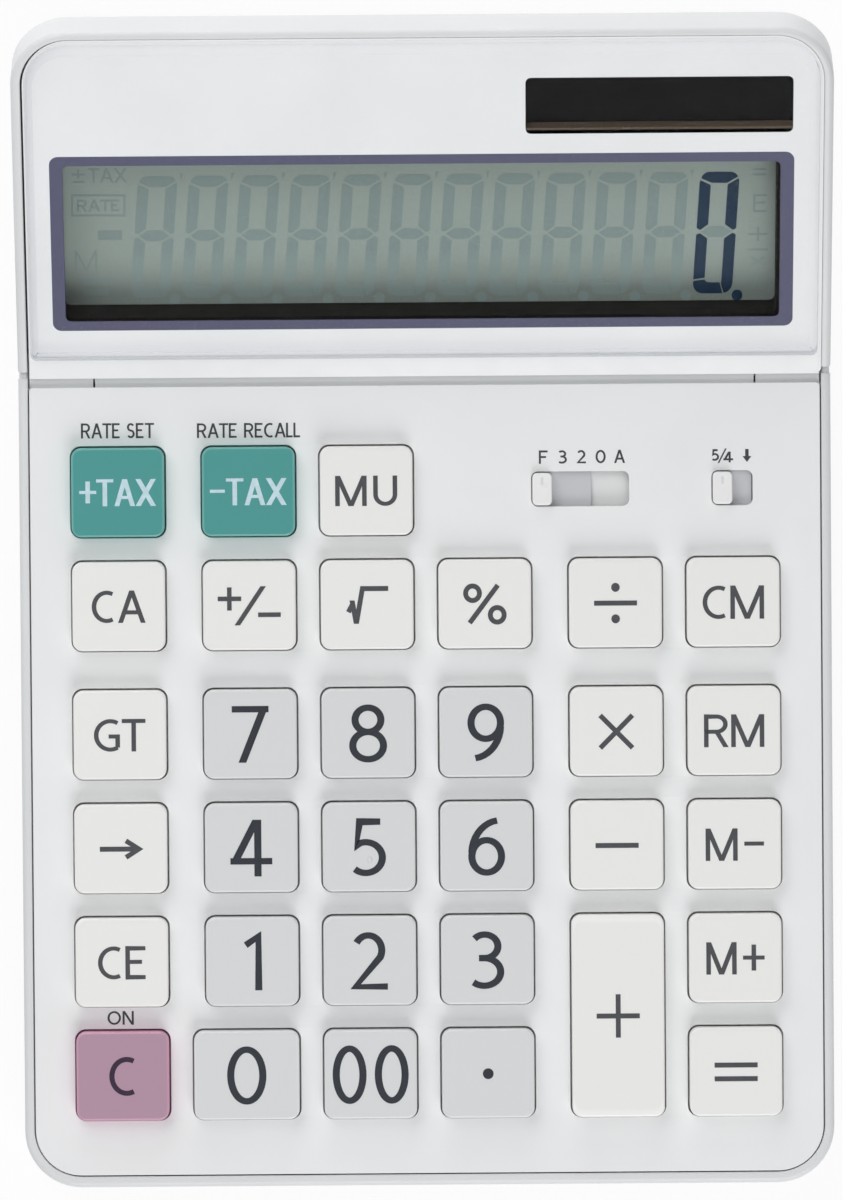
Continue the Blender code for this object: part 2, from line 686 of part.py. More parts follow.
def bottom_casing():
    """The tray with its rim, screw posts and the two outer hinge knuckles between rounded cheeks."""
    casing = add_part("bottom_casing", casing_body(), KEYBOARD, (0, 0, 0), WHITE_CASE)
    combine(casing, rear_notch(), "DIFFERENCE")
    combine(casing, cover_seat(), "DIFFERENCE")
    combine(casing, main_cavity(), "DIFFERENCE")
    combine(casing, rear_cavity(), "DIFFERENCE")
    trough = hinge_rods("hinge_trough", HINGE, SWEEP_RADIUS, [(-KNUCKLE_START, KNUCKLE_START)])
    combine(casing, trough, "DIFFERENCE")
    knuckles = hinge_rods("knuckles", HINGE, BARREL_RADIUS, both_sides(KNUCKLE_START, CHEEK_START + OVERRUN))
    combine(casing, knuckles, "UNION")
    combine(casing, hinge_cheeks(), "UNION", close_fit=True)
    combine(casing, cheek_grooves(), "DIFFERENCE")
    bore_spans = both_sides(BARREL_END, PIN_END + CLEARANCE)
    bores = hinge_rods("knuckle_bores", HINGE, PIN_RADIUS + HINGE_GAP, bore_spans, SMALL_ROUND_SIDES)
    combine(casing, bores, "DIFFERENCE")
    combine(casing, screw_posts(), "UNION")
    for cutter in (screw_wells(), screw_holes(), foot_pockets(), battery_opening(), trough_slot()):
        combine(casing, cutter, "DIFFERENCE")


def key_sizes():
    """Each key's name with its centre, width, length and material."""
    rows = [
        ["tax_plus", "tax_minus", "mark_up"],
        ["clear_all", "sign", "square_root", "percent", "divide", "memory_clear"],
        ["grand_total", "7", "8", "9", "multiply", "memory_recall"],
        ["backspace", "4", "5", "6", "subtract", "memory_subtract"],
        ["clear_entry", "1", "2", "3", None, "memory_add"],
        ["clear", "0", "00", "decimal_point", "add", "equals"],
    ]
    grey = {"0", "00", "1", "2", "3", "4", "5", "6", "7", "8", "9", "decimal_point"}
    materials = {"tax_plus": TEAL_KEY, "tax_minus": TEAL_KEY, "clear": MAUVE_KEY}
    keys = []
    for names, y in zip(rows, ROWS):
        for name, x in zip(names, COLUMNS):
            if name is None:
                continue
            material = materials.get(name, GREY_KEY if name in grey else WHITE_KEY)
            centre, width, length = Vector((x, y)), KEY_WIDTH, KEY_LENGTH
            if name == "0":
                width += ZERO_EXTRA_WIDTH
                centre.x -= ZERO_EXTRA_WIDTH / 2
            if name == "add":
                length += KEY_PITCH_Y
                centre.y += KEY_PITCH_Y / 2
            keys.append((name, centre, width, length, material))
    return keys


def key_mesh(name, width, length):
    """A hollow key cap with a flange that keeps it under the cover and a post over its dome."""
    half = Vector((width / 2 + FLANGE_EDGE, length / 2 + FLANGE_EDGE))
    bm = bmesh.new()
    add_box(bm, (-half.x, -half.y, FLANGE_UNDER), (half.x, half.y, FLANGE_TOP))
    bm.normal_update()
    top = next(face for face in bm.faces if face.normal.z > LEVEL_NORMAL_SHARE)
    under = next(face for face in bm.faces if face.normal.z < -LEVEL_NORMAL_SHARE)
    inset(bm, top, FLANGE_EDGE)
    cap = bmesh.ops.extrude_face_region(bm, geom=[top])
    raised = [item for item in cap["geom"] if isinstance(item, bmesh.types.BMVert)]
    bmesh.ops.delete(bm, geom=[top], context="FACES_ONLY")
    bmesh.ops.translate(bm, verts=raised, vec=(0, 0, KEY_HEIGHT - FLANGE_TOP))
    inset(bm, under, FLANGE_EDGE + KEY_WALL)
    hollow = bmesh.ops.extrude_face_region(bm, geom=[under])
    inner = [item for item in hollow["geom"] if isinstance(item, bmesh.types.BMVert)]
    ceiling = next(item for item in hollow["geom"] if isinstance(item, bmesh.types.BMFace))
    bmesh.ops.delete(bm, geom=[under], context="FACES_ONLY")
    bmesh.ops.translate(bm, verts=inner, vec=(0, 0, KEY_HEIGHT - KEY_WALL - FLANGE_UNDER))
    round_edges(bm, upright_edges(raised), KEY_CORNER, SMALL_CORNER_STEPS)
    bm.normal_update()
    top_edges = []
    for edge in bm.edges:
        heights = [vert.co.z for vert in edge.verts]
        slopes = sorted(face.normal.z for face in edge.link_faces)
        if min(heights) > KEY_HEIGHT - KEY_TOP_ROUND and slopes[0] < LEVEL_NORMAL_SHARE < slopes[1]:
            top_edges.append(edge)
    round_edges(bm, top_edges, KEY_TOP_ROUND, KEY_TOP_STEPS)
    add_post(bm, ceiling)
    bmesh.ops.remove_doubles(bm, verts=bm.verts, dist=MERGE_DISTANCE)
    return finished_mesh(name, bm, smooth=True)


def add_post(bm, ceiling):
    """Draws a square post down from the middle of a key's ceiling."""
    corners = [vert.co for vert in ceiling.verts]
    size_x = max(place.x for place in corners) - min(place.x for place in corners)
    size_y = max(place.y for place in corners) - min(place.y for place in corners)
    inset(bm, ceiling, KEY_WALL)
    scale = Vector((POST_WIDTH / (size_x - 2 * KEY_WALL), POST_WIDTH / (size_y - 2 * KEY_WALL), 1))
    bmesh.ops.scale(bm, verts=ceiling.verts, vec=scale)
    post = bmesh.ops.extrude_face_region(bm, geom=[ceiling])
    lowered = [item for item in post["geom"] if isinstance(item, bmesh.types.BMVert)]
    bmesh.ops.delete(bm, geom=[ceiling], context="FACES_ONLY")
    bmesh.ops.translate(bm, verts=lowered, vec=(0, 0, POST_END - KEY_HEIGHT + KEY_WALL))


def add_keys():
    """All key caps, each in its own frame of reference on its own slide axis."""
    meshes = {}
    for name, centre, width, length, material in key_sizes():
        shape = (width, length)
        if shape not in meshes:
            meshes[shape] = key_mesh("key_cap", width, length)
        add_part("key_" + name, meshes[shape], KEYBOARD, (*centre, 0), material)


def key_holes():
    """The holes in the cover that the key caps stand in."""
    bm = bmesh.new()
    for _, centre, width, length, _ in key_sizes():
        half = Vector((width / 2 + KEY_HOLE_GAP, length / 2 + KEY_HOLE_GAP))
        low, high = centre - half, centre + half
        add_round_box(bm, (*low, COVER_UNDER - OVERRUN), (*high, OVERRUN), KEY_HOLE_CORNER)
    return add_cutter("key_holes", finished_mesh("key_holes", bm), KEYBOARD)


def switch_sizes():
    """Each slide switch's name, slot centre, travel and how far its skirt reaches past the knob."""
    return [
        ("decimal_switch_knob", COLUMNS[4] - DECIMAL_SLOT_OFFSET, DECIMAL_TRAVEL, DECIMAL_SKIRT_REACH),
        ("rounding_switch_knob", COLUMNS[5], ROUNDING_TRAVEL, ROUNDING_SKIRT_REACH),
    ]


def switch_slots():
    """The slots in the cover and the thinned pockets under them that the skirts run in."""
    bm = bmesh.new()
    pockets = bmesh.new()
    half_y = KNOB_LENGTH / 2 + SLOT_SIDE_GAP
    pocket_y = SKIRT_LENGTH / 2 + CLEARANCE
    for _, x, travel, reach in switch_sizes():
        half_x = (KNOB_WIDTH + travel) / 2 + SLOT_END_GAP
        low = (x - half_x, ROWS[0] - half_y, COVER_UNDER - OVERRUN)
        high = (x + half_x, ROWS[0] + half_y, OVERRUN)
        add_round_box(bm, low, high, SLOT_CORNER)
        pocket_x = (KNOB_WIDTH + travel) / 2 + reach + CLEARANCE
        low = (x - pocket_x, ROWS[0] - pocket_y, COVER_UNDER - OVERRUN)
        high = (x + pocket_x, ROWS[0] + pocket_y, -SLOT_FLOOR_THICKNESS)
        add_box(pockets, low, high)
    slots = add_cutter("switch_slots", finished_mesh("switch_slots", bm), KEYBOARD)
    return slots, add_cutter("skirt_pockets", finished_mesh("skirt_pockets", pockets), KEYBOARD)


def cover_bosses():
    """The bosses under the cover that the case screws bite into."""
    bm = bmesh.new()
    for place in SCREW_PLACES:
        add_rod(bm, BOSS_RADIUS, POST_TOP + BOSS_END_GAP, COVER_UNDER / 2, place, SMALL_ROUND_SIDES)
    return add_cutter("cover_bosses", finished_mesh("cover_bosses", bm), KEYBOARD)


def boss_bores():
    """The blind bores in the cover's bosses."""
    bm = bmesh.new()
    top = -SCREW_END_DEPTH + CLEARANCE
    for place in SCREW_PLACES:
        add_rod(bm, SCREW_SHANK_RADIUS + CLEARANCE, POST_TOP, top, place, SMALL_ROUND_SIDES)
    return add_cutter("boss_bores", finished_mesh("boss_bores", bm), KEYBOARD)


def top_cover():
    """The plate round the keys, cut back under its rear edge round the hinge barrel."""
    half = COVER_WIDTH / 2
    bm = bmesh.new()
    low, high = (-half, 0, COVER_UNDER), (half, COVER_LENGTH, 0)
    add_plate(bm, low, high, COVER_CORNER, COVER_REAR_CORNER, far_steps=SMALL_CORNER_STEPS)
    mesh = finished_mesh("top_cover", bm, smooth=True)
    cover = add_part("top_cover", mesh, KEYBOARD, (0, 0, 0), WHITE_COVER)
    combine(cover, cover_bosses(), "UNION")
    slots, pockets = switch_slots()
    sweep = hinge_rods("cover_sweep", HINGE, SWEEP_RADIUS, [(-HALF_WIDTH, HALF_WIDTH)])
    for cutter in (key_holes(), slots, pockets, boss_bores(), sweep):
        combine(cover, cutter, "DIFFERENCE")


def add_switch_knobs():
    """The two knobs, each on a skirt that slides under the cover, at the left end of their slots."""
    for name, slot_x, travel, reach in switch_sizes():
        half_x, half_y = KNOB_WIDTH / 2, KNOB_LENGTH / 2
        skirt_x, skirt_y = half_x + reach, SKIRT_LENGTH / 2
        bm = bmesh.new()
        add_box(bm, (-skirt_x, -skirt_y, SKIRT_UNDER), (skirt_x, skirt_y, SKIRT_TOP))
        skirt = finished_mesh(name, bm)
        grip = bmesh.new()
        low = (-half_x, -half_y, SKIRT_TOP - SKIRT_THICKNESS / 2)
        add_round_box(grip, low, (half_x, half_y, KNOB_HEIGHT), KNOB_ROUND)
        place = (slot_x - travel / 2, ROWS[0], 0)
        knob = add_part(name, skirt, KEYBOARD, place, WHITE_KNOB)
        handle = add_cutter(name + "_grip", finished_mesh(name + "_grip", grip), KEYBOARD, place)
        combine(knob, handle, "UNION")


def board_reach():
    """The half width, front and rear of the board and the sheet on it."""
    half = HALF_WIDTH - SIDE_RIM - RIM_LEDGE - CLEARANCE
    return half, BOARD_FRONT_MARGIN, CAVITY_END - BOARD_REAR_MARGIN


def boss_clearances():
    """The holes in the board and the sheet that the cover's bosses pass."""
    bm = bmesh.new()
    for place in SCREW_PLACES:
        low, high = BOARD_UNDER - OVERRUN, SHEET_TOP + OVERRUN
        add_rod(bm, BOSS_RADIUS + CLEARANCE, low, high, place, SMALL_ROUND_SIDES)
    return add_cutter("boss_clearances", finished_mesh("boss_clearances", bm), KEYBOARD)


def switch_area(margin):
    """The two opposite corners, in X and Y, of the area that holds the switch bodies."""
    _, first_x, travel, reach = switch_sizes()[0]
    left = first_x - (KNOB_WIDTH + travel) / 2 - reach - margin
    half_y = SKIRT_LENGTH / 2 + margin
    return (left, ROWS[0] - half_y), (board_reach()[0] + margin, ROWS[0] + half_y)


def add_cones(bm, base_radius, top_radius, low_z, high_z):
    """Adds one cone under every key."""
    for _, centre, _, _, _ in key_sizes():
        add_rod(bm, base_radius, low_z, high_z, centre, DOME_SIDES, top_radius)


def rubber_dome_sheet():
    """The rubber sheet with a hollow dome under every key, open round the switch bodies."""
    half, front, _ = board_reach()
    rear = ROWS[0] + DOME_BASE_RADIUS + DOME_WALL
    corner = CORNER_RADIUS - SIDE_RIM - RIM_LEDGE - CLEARANCE
    bm = bmesh.new()
    add_plate(bm, (-half, front, SHEET_UNDER), (half, rear, SHEET_TOP), corner, 0)
    mesh = finished_mesh("rubber_dome_sheet", bm)
    sheet = add_part("rubber_dome_sheet", mesh, KEYBOARD, (0, 0, 0), SHEET_RUBBER)
    domes = bmesh.new()
    add_cones(domes, DOME_BASE_RADIUS, DOME_TOP_RADIUS, SHEET_UNDER + SHEET_THICKNESS / 2, DOME_TOP)
    combine(sheet, add_cutter("domes", finished_mesh("domes", domes), KEYBOARD), "UNION")
    hollows = bmesh.new()
    base, top = DOME_BASE_RADIUS - DOME_WALL, DOME_TOP_RADIUS - DOME_WALL
    add_cones(hollows, base, top, SHEET_UNDER - OVERRUN, DOME_TOP - DOME_WALL)
    cutter = add_cutter("dome_hollows", finished_mesh("dome_hollows", hollows), KEYBOARD)
    combine(sheet, cutter, "DIFFERENCE")
    window = bmesh.new()
    low, high = switch_area(SWITCH_BODY_MARGIN)
    rear_limit = max(high[1], rear) + OVERRUN
    add_box(window, (*low, SHEET_UNDER - OVERRUN), (high[0] + OVERRUN, rear_limit, SHEET_TOP + OVERRUN))
    opening = add_cutter("switch_window", finished_mesh("switch_window", window), KEYBOARD)
    combine(sheet, opening, "DIFFERENCE")
    combine(sheet, boss_clearances(), "DIFFERENCE")


def main_circuit_board():
    """The board, with the bodies of the two slide switches on it."""
    half, front, rear = board_reach()
    corner = CORNER_RADIUS - SIDE_RIM - RIM_LEDGE - CLEARANCE
    bm = bmesh.new()
    add_plate(bm, (-half, front, BOARD_UNDER), (half, rear, BOARD_TOP), corner, 0)
    mesh = finished_mesh("main_circuit_board", bm)
    board = add_part("main_circuit_board", mesh, KEYBOARD, (0, 0, 0), BOARD_GREEN)
    bodies = bmesh.new()
    half_y = SKIRT_LENGTH / 2
    for _, x, travel, _ in switch_sizes():
        half_x = (KNOB_WIDTH + travel) / 2 + SWITCH_BODY_MARGIN
        low = (x - half_x, ROWS[0] - half_y, BOARD_TOP - BOARD_THICKNESS / 2)
        add_box(bodies, low, (x + half_x, ROWS[0] + half_y, SKIRT_UNDER - CLEARANCE))
    combine(board, add_cutter("switch_bodies", finished_mesh("switch_bodies", bodies), KEYBOARD), "UNION")
    combine(board, boss_clearances(), "DIFFERENCE")


def add_case_screws():
    """The four screws that hold the top cover down, put in from below."""
    head_top = SHOULDER_UNDER - CLEARANCE
    names = ["front_left", "front_right", "rear_left", "rear_right"]
    for name, place in zip(names, SCREW_PLACES):
        bm = bmesh.new()
        add_rod(bm, SCREW_HEAD_RADIUS, head_top - SCREW_HEAD_HEIGHT, head_top, sides=SMALL_ROUND_SIDES)
        mesh = finished_mesh("case_screw", bm, smooth=True)
        screw = add_part("case_screw_" + name, mesh, KEYBOARD, (*place, 0), STEEL)
        shank = bmesh.new()
        low = head_top - SCREW_HEAD_HEIGHT / 2
        add_rod(shank, SCREW_SHANK_RADIUS, low, -SCREW_END_DEPTH, sides=SMALL_ROUND_SIDES)
        tool = add_cutter("shank_" + name, finished_mesh("shank", shank), KEYBOARD, (*place, 0))
        combine(screw, tool, "UNION")


def add_feet():
    """The four rubber feet, stuck in their pockets."""
    top = FOOT_STAND + FOOT_SEAT - CLEARANCE
    for name, place in foot_places().items():
        bm = bmesh.new()
        add_rod(bm, FOOT_RADIUS, 0, top)
        rim = [edge for edge in bm.edges if max(vert.co.z for vert in edge.verts) == 0]
        round_edges(bm, rim, FOOT_EDGE_ROUND, 1)
        add_part("foot_" + name, finished_mesh("foot", bm, smooth=True), DESK, (*place, 0), FOOT_RUBBER)


def add_battery():
    """The button cell over its cover in the floor, and the contact spring under the board."""
    half = Vector((BATTERY_DOOR_WIDTH / 2, BATTERY_DOOR_LENGTH / 2))
    bm = bmesh.new()
    add_round_box(bm, (*-half, FOOT_STAND), (*half, FLOOR_TOP), BATTERY_DOOR_CORNER)
    place = (BATTERY_PLACE_X, BATTERY_PLACE_Y, 0)
    add_part("battery_cover", finished_mesh("battery_cover", bm), DESK, place, WHITE_CASE)
    bm = bmesh.new()
    cell_low = FLOOR_TOP + CLEARANCE
    add_rod(bm, BATTERY_RADIUS, cell_low, cell_low + BATTERY_HEIGHT)
    add_part("button_cell", finished_mesh("button_cell", bm, smooth=True), DESK, place, CELL_STEEL)
    y = leaning(BATTERY_PLACE_Y, cell_low + BATTERY_HEIGHT).y
    board_side = BOARD_UNDER - CLEARANCE - CONTACT_THICKNESS
    low = floor_depth(y, cell_low + BATTERY_HEIGHT) + CLEARANCE + CONTACT_THICKNESS
    seat_start = y + CONTACT_DROP_LENGTH
    points = [
        (seat_start + CONTACT_SEAT_LENGTH, board_side),
        (seat_start, board_side),
        (y, low),
        (y - CONTACT_TIP_LENGTH, low),
    ]
    mesh = strip_mesh("battery_contact", points, BATTERY_PLACE_X - CONTACT_WIDTH / 2, CONTACT_WIDTH)
    contact = add_part("battery_contact", mesh, KEYBOARD, (0, 0, 0), SPRING_STEEL)
    thicken(contact, CONTACT_THICKNESS)


def display_block(hollow):
    """The display's outer shape, or its hollow, which is a wall smaller, with its sloped back."""
    half = HALF_WIDTH - (SIDE_RIM if hollow else 0)
    near = DISPLAY_SETBACK if hollow else DISPLAY_WALL_START
    far = DISPLAY_END + PANEL_GAP if hollow else DISPLAY_OUTER_END
    back = DISPLAY_BACK + (CASE_WALL if hollow else 0)
    top = AXIS_DEPTH + (OVERRUN if hollow else 0)
    corner = CORNER_RADIUS - (SIDE_RIM if hollow else 0)
    bm = bmesh.new()
    add_plate(bm, (-half, near, back), (half, far, top), 0, corner)
    if not hollow:
        round_rim(bm, near)
    rise = DISPLAY_DEPTH - DISPLAY_REAR_DEPTH
    trim(bm, (0, DISPLAY_DEEP_END, back), Vector((0, rise, -DISPLAY_SLOPE_LENGTH)).normalized())
    return bm


def display_rear_shell():
    """The tray of the display with the hinge barrel along its lower edge."""
    bm = display_block(hollow=False)
    round_underside(bm, DISPLAY_BACK_ROUND, SMALL_CORNER_STEPS, beyond=DISPLAY_SETBACK)
    mesh = finished_mesh("display_rear_shell", bm, smooth=True)
    shell = add_part("display_rear_shell", mesh, DISPLAY, (0, 0, 0), WHITE_CASE)
    hollow = finished_mesh("display_hollow", display_block(hollow=True))
    combine(shell, add_cutter("display_hollow", hollow, DISPLAY), "DIFFERENCE")
    notch = bmesh.new()
    edge = DISPLAY_SETBACK + DISPLAY_RIM_SETBACK
    low = (-HALF_WIDTH - OVERRUN, DISPLAY_WALL_START - OVERRUN, 0)
    add_box(notch, low, (HALF_WIDTH + OVERRUN, edge, AXIS_DEPTH + OVERRUN))
    cutter = add_cutter("display_notch", finished_mesh("display_notch", notch), DISPLAY)
    combine(shell, cutter, "DIFFERENCE")
    sweep_spans = both_sides(BARREL_END, HALF_WIDTH + OVERRUN)
    combine(shell, hinge_rods("knuckle_sweep", DISPLAY, SWEEP_RADIUS, sweep_spans), "DIFFERENCE")
    cheek_spans = both_sides(CHEEK_START - PANEL_GAP - CLEARANCE, HALF_WIDTH + OVERRUN)
    cheek_sweep = hinge_rods("cheek_sweep", DISPLAY, AXIS_DEPTH + HINGE_GAP, cheek_spans)
    combine(shell, cheek_sweep, "DIFFERENCE")
    combine(shell, hinge_rods("barrel", DISPLAY, BARREL_RADIUS, [(-BARREL_END, BARREL_END)]), "UNION")
    bore_spans = [(-BARREL_END - OVERRUN, BARREL_END + OVERRUN)]
    bore = hinge_rods("barrel_bore", DISPLAY, PIN_RADIUS + HINGE_GAP, bore_spans, SMALL_ROUND_SIDES)
    combine(shell, bore, "DIFFERENCE")
    seat_depth = WASHER_THICKNESS + CLEARANCE
    seat_spans = [(BARREL_END - seat_depth, BARREL_END + OVERRUN)]
    seat = hinge_rods("washer_seat", DISPLAY, WASHER_RADIUS + CLEARANCE, seat_spans, SMALL_ROUND_SIDES)
    combine(shell, seat, "DIFFERENCE")
    slot = bmesh.new()
    low = (RIBBON_LEFT - RIBBON_SLOT_MARGIN, -BARREL_RADIUS - OVERRUN, BARREL_SLOT_BOTTOM)
    high_x = RIBBON_LEFT + RIBBON_WIDTH + RIBBON_SLOT_MARGIN
    add_box(slot, low, (high_x, BARREL_RADIUS + OVERRUN, BARREL_SLOT_TOP))
    combine(shell, add_cutter("barrel_slot", finished_mesh("barrel_slot", slot), DISPLAY), "DIFFERENCE")


def window_box(name, left, right, low, high, bottom, top):
    """A cutter for a window of the display, in distances from the front cover's lower edge."""
    bm = bmesh.new()
    low_corner = (left, DISPLAY_SETBACK + low, bottom)
    high_corner = (right, DISPLAY_SETBACK + high, top)
    add_round_box(bm, low_corner, high_corner, WINDOW_CORNER)
    return add_cutter(name, finished_mesh(name, bm), DISPLAY)


def lens_outline(gap):
    """The lens's half width, lower and upper edge and rear corner radius, widened by a gap."""
    half = COVER_WIDTH / 2 - LENS_SIDE_LIP - LENS_GAP + gap
    low = DISPLAY_SETBACK + LENS_FRONT_LIP - gap
    high = DISPLAY_END - LENS_REAR_LIP + gap
    return half, low, high, COVER_CORNER - LENS_REAR_LIP + gap


def add_lens_block(bm, gap, bottom, top):
    """Adds the lens's outline as a block with its large corners at the rear."""
    half, low, high, corner = lens_outline(gap)
    low_corner, high_corner = (-half, low, bottom), (half, high, top)
    add_plate(bm, low_corner, high_corner, LENS_FRONT_CORNER, corner, near_steps=SMALL_CORNER_STEPS)


def display_front_cover():
    """The plate that closes the display, with windows and the lens's seat."""
    half = COVER_WIDTH / 2
    bm = bmesh.new()
    low = (-half, DISPLAY_SETBACK, AXIS_DEPTH - COVER_THICKNESS)
    add_plate(bm, low, (half, DISPLAY_END, AXIS_DEPTH), 0, COVER_CORNER)
    mesh = finished_mesh("display_front_cover", bm, smooth=True)
    cover = add_part("display_front_cover", mesh, DISPLAY, (0, 0, 0), WHITE_COVER)
    seat = bmesh.new()
    add_lens_block(seat, LENS_GAP, AXIS_DEPTH - LENS_SEAT_DEPTH, AXIS_DEPTH + OVERRUN)
    combine(cover, add_cutter("lens_seat", finished_mesh("lens_seat", seat), DISPLAY), "DIFFERENCE")
    bottom, top = AXIS_DEPTH - COVER_THICKNESS - OVERRUN, AXIS_DEPTH + OVERRUN
    half = WINDOW_HALF_WIDTH + WINDOW_MARGIN
    window = (-half, half, WINDOW_LOW - WINDOW_MARGIN, WINDOW_HIGH + WINDOW_MARGIN)
    combine(cover, window_box("lcd_window", *window, bottom, top), "DIFFERENCE")
    solar = (SOLAR_LEFT, SOLAR_RIGHT, SOLAR_LOW, SOLAR_HIGH)
    combine(cover, window_box("solar_window", *solar, bottom, top), "DIFFERENCE")
    sweep = hinge_rods("display_cover_sweep", DISPLAY, SWEEP_RADIUS, [(-HALF_WIDTH, HALF_WIDTH)])
    combine(cover, sweep, "DIFFERENCE")


def display_lens():
    """The clear pane over the display, its top edges chamfered all round."""
    bm = bmesh.new()
    top_z = LENS_UNDER + LENS_THICKNESS
    add_lens_block(bm, 0, LENS_UNDER, top_z - LENS_STAND)
    bm.normal_update()
    top = max(bm.faces, key=lambda face: face.calc_center_median().z)
    inset(bm, top, LENS_CHAMFER)
    bmesh.ops.translate(bm, verts=top.verts, vec=(0, 0, LENS_STAND))
    add_part("display_lens", finished_mesh("display_lens", bm), DISPLAY, (0, 0, 0), CLEAR_LENS)


def display_inner_parts():
    """The dark well, whose near and right walls stand a little inside, the LCD glass and the solar cell."""
    wall = WINDOW_MARGIN + LCD_FRAME_WALL
    half = WINDOW_HALF_WIDTH + wall
    low_y = DISPLAY_SETBACK + WINDOW_LOW - wall
    high_y = DISPLAY_SETBACK + WINDOW_HIGH + wall
    bm = bmesh.new()
    add_box(bm, (-half, low_y, FRAME_UNDER), (half, high_y, FRAME_TOP))
    frame = add_part("lcd_frame", finished_mesh("lcd_frame", bm), DISPLAY, (0, 0, 0), DARK_WELL)
    opening = WINDOW_HALF_WIDTH + WINDOW_MARGIN
    near = WINDOW_LOW - WINDOW_MARGIN + WELL_NEAR_LIP
    well = (-opening, opening - WELL_RIGHT_LIP, near, WINDOW_HIGH + WINDOW_MARGIN)
    bottom, top = FRAME_UNDER - OVERRUN, FRAME_TOP + OVERRUN
    combine(frame, window_box("well", *well, bottom, top), "DIFFERENCE")
    bm = bmesh.new()
    add_box(bm, (-half, low_y, LCD_TOP - LCD_THICKNESS), (half, high_y, LCD_TOP))
    add_part("lcd_glass", finished_mesh("lcd_glass", bm), DISPLAY, (0, 0, 0), LCD_GREY)
    bm = bmesh.new()
    low = (SOLAR_LEFT - WINDOW_MARGIN, DISPLAY_SETBACK + SOLAR_LOW - WINDOW_MARGIN)
    high = (SOLAR_RIGHT + WINDOW_MARGIN, DISPLAY_SETBACK + SOLAR_HIGH + WINDOW_MARGIN)
    add_box(bm, (*low, FRAME_TOP - SOLAR_CELL_THICKNESS), (*high, FRAME_TOP))
    add_part("solar_cell", finished_mesh("solar_cell", bm), DISPLAY, (0, 0, 0), SOLAR_BLACK)


def add_hinge_hardware():
    """The two pins, each half in its knuckle and half in the barrel, and the friction washer."""
    for side, name in ((-1, "left"), (1, "right")):
        low, high = sorted((side * (BARREL_END - PIN_REACH_BARREL), side * PIN_END))
        bm = bmesh.new()
        add_axle(bm, PIN_RADIUS, low, high, SMALL_ROUND_SIDES)
        mesh = finished_mesh("hinge_pin_" + name, bm, smooth=True)
        add_part("hinge_pin_" + name, mesh, HINGE, (0, 0, 0), STEEL)
    bm = bmesh.new()
    add_axle(bm, WASHER_RADIUS, BARREL_END - WASHER_THICKNESS, BARREL_END)
    mesh = finished_mesh("hinge_friction_washer", bm, smooth=True)
    washer = add_part("hinge_friction_washer", mesh, HINGE, (0, 0, 0), WASHER_PLASTIC)
    span = [(BARREL_END - WASHER_THICKNESS - OVERRUN, BARREL_END + OVERRUN)]
    bore = hinge_rods("washer_bore", HINGE, PIN_RADIUS + HINGE_GAP, span, SMALL_ROUND_SIDES)
    combine(washer, bore, "DIFFERENCE")


def ribbon_route():
    """The ribbon's points about the hinge axis, from over the board to the LCD's lower edge."""
    board_end = CAVITY_END - BOARD_REAR_MARGIN - AXIS_PLACE
    over_board = BOARD_TOP + CLEARANCE + RIBBON_THICKNESS + AXIS_DEPTH
    trough = -SWEEP_RADIUS - CASE_WALL / 2
    slot = (BARREL_SLOT_TOP + BARREL_SLOT_BOTTOM) / 2
    turn = Matrix.Rotation(DISPLAY_TILT, 3, "X")
    lcd_edge = DISPLAY_SETBACK + WINDOW_LOW - WINDOW_MARGIN - LCD_FRAME_WALL - CLEARANCE - RIBBON_THICKNESS
    in_display = [
        (-BARREL_RADIUS, slot),
        (BARREL_RADIUS, slot),
        (lcd_edge - CASE_WALL, LCD_TOP - CLEARANCE),
        (lcd_edge, LCD_TOP - LCD_THICKNESS / 2),
    ]
    turned = [turn @ Vector((0, y, z)) for y, z in in_display]
    joined = (over_board + turned[0].z) / 2
    in_body = [(board_end - RIBBON_OVER_BOARD, over_board), (board_end, over_board), (trough, joined)]
    return in_body + [(point.y, point.z) for point in turned]


def display_ribbon_cable():
    """The flat cable that feeds the LCD from the board, through the hollow barrel."""
    mesh = strip_mesh("display_ribbon_cable", ribbon_route(), RIBBON_LEFT, RIBBON_WIDTH)
    ribbon = add_part("display_ribbon_cable", mesh, HINGE, (0, 0, 0), RIBBON_FILM)
    thicken(ribbon, RIBBON_THICKNESS)


def stand_at_origin():
    """Moves the desk frame so that the object's box stands centred on the origin."""
    bpy.context.view_layer.update()
    graph = bpy.context.evaluated_depsgraph_get()
    corners = []
    for part in PARTS.objects:
        if part.type != "MESH":
            continue
        shape = part.evaluated_get(graph)
        corners += [shape.matrix_world @ vert.co for vert in shape.data.vertices]
    lows = [min(corner[axis] for corner in corners) for axis in range(3)]
    highs = [max(corner[axis] for corner in corners) for axis in range(3)]
    DESK.location = (-(lows[0] + highs[0]) / 2, -(lows[1] + highs[1]) / 2, -lows[2])
    bpy.context.view_layer.update()


bottom_casing()
top_cover()
add_keys()
add_switch_knobs()
rubber_dome_sheet()
main_circuit_board()
add_case_screws()
add_feet()
add_battery()
display_rear_shell()
display_front_cover()
display_lens()
display_inner_parts()
add_hinge_hardware()
display_ribbon_cable()
stand_at_origin()
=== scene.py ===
"""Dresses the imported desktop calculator: its plastics, keys and legends, the display and its glass.

Lengths are metres.  Two benches carry the work: the keyboard bench leans with the top cover, and the
display bench leans with the display about the hinge axis.  On both, X runs to the right, Y up the
slope and Z off the face.  Sizes come from the CAD nodes, read on the bench that they lie on.  What is
placed by the photograph is a pixel of its 843 by 1200 frame, carried onto the surface that holds it.
"""

import json
import logging
import math
from collections.abc import Callable, Iterable, Sequence
from dataclasses import dataclass, field
from enum import Enum
from functools import cache
from typing import Protocol

import bmesh
import bpy
from mathutils import Matrix, Vector


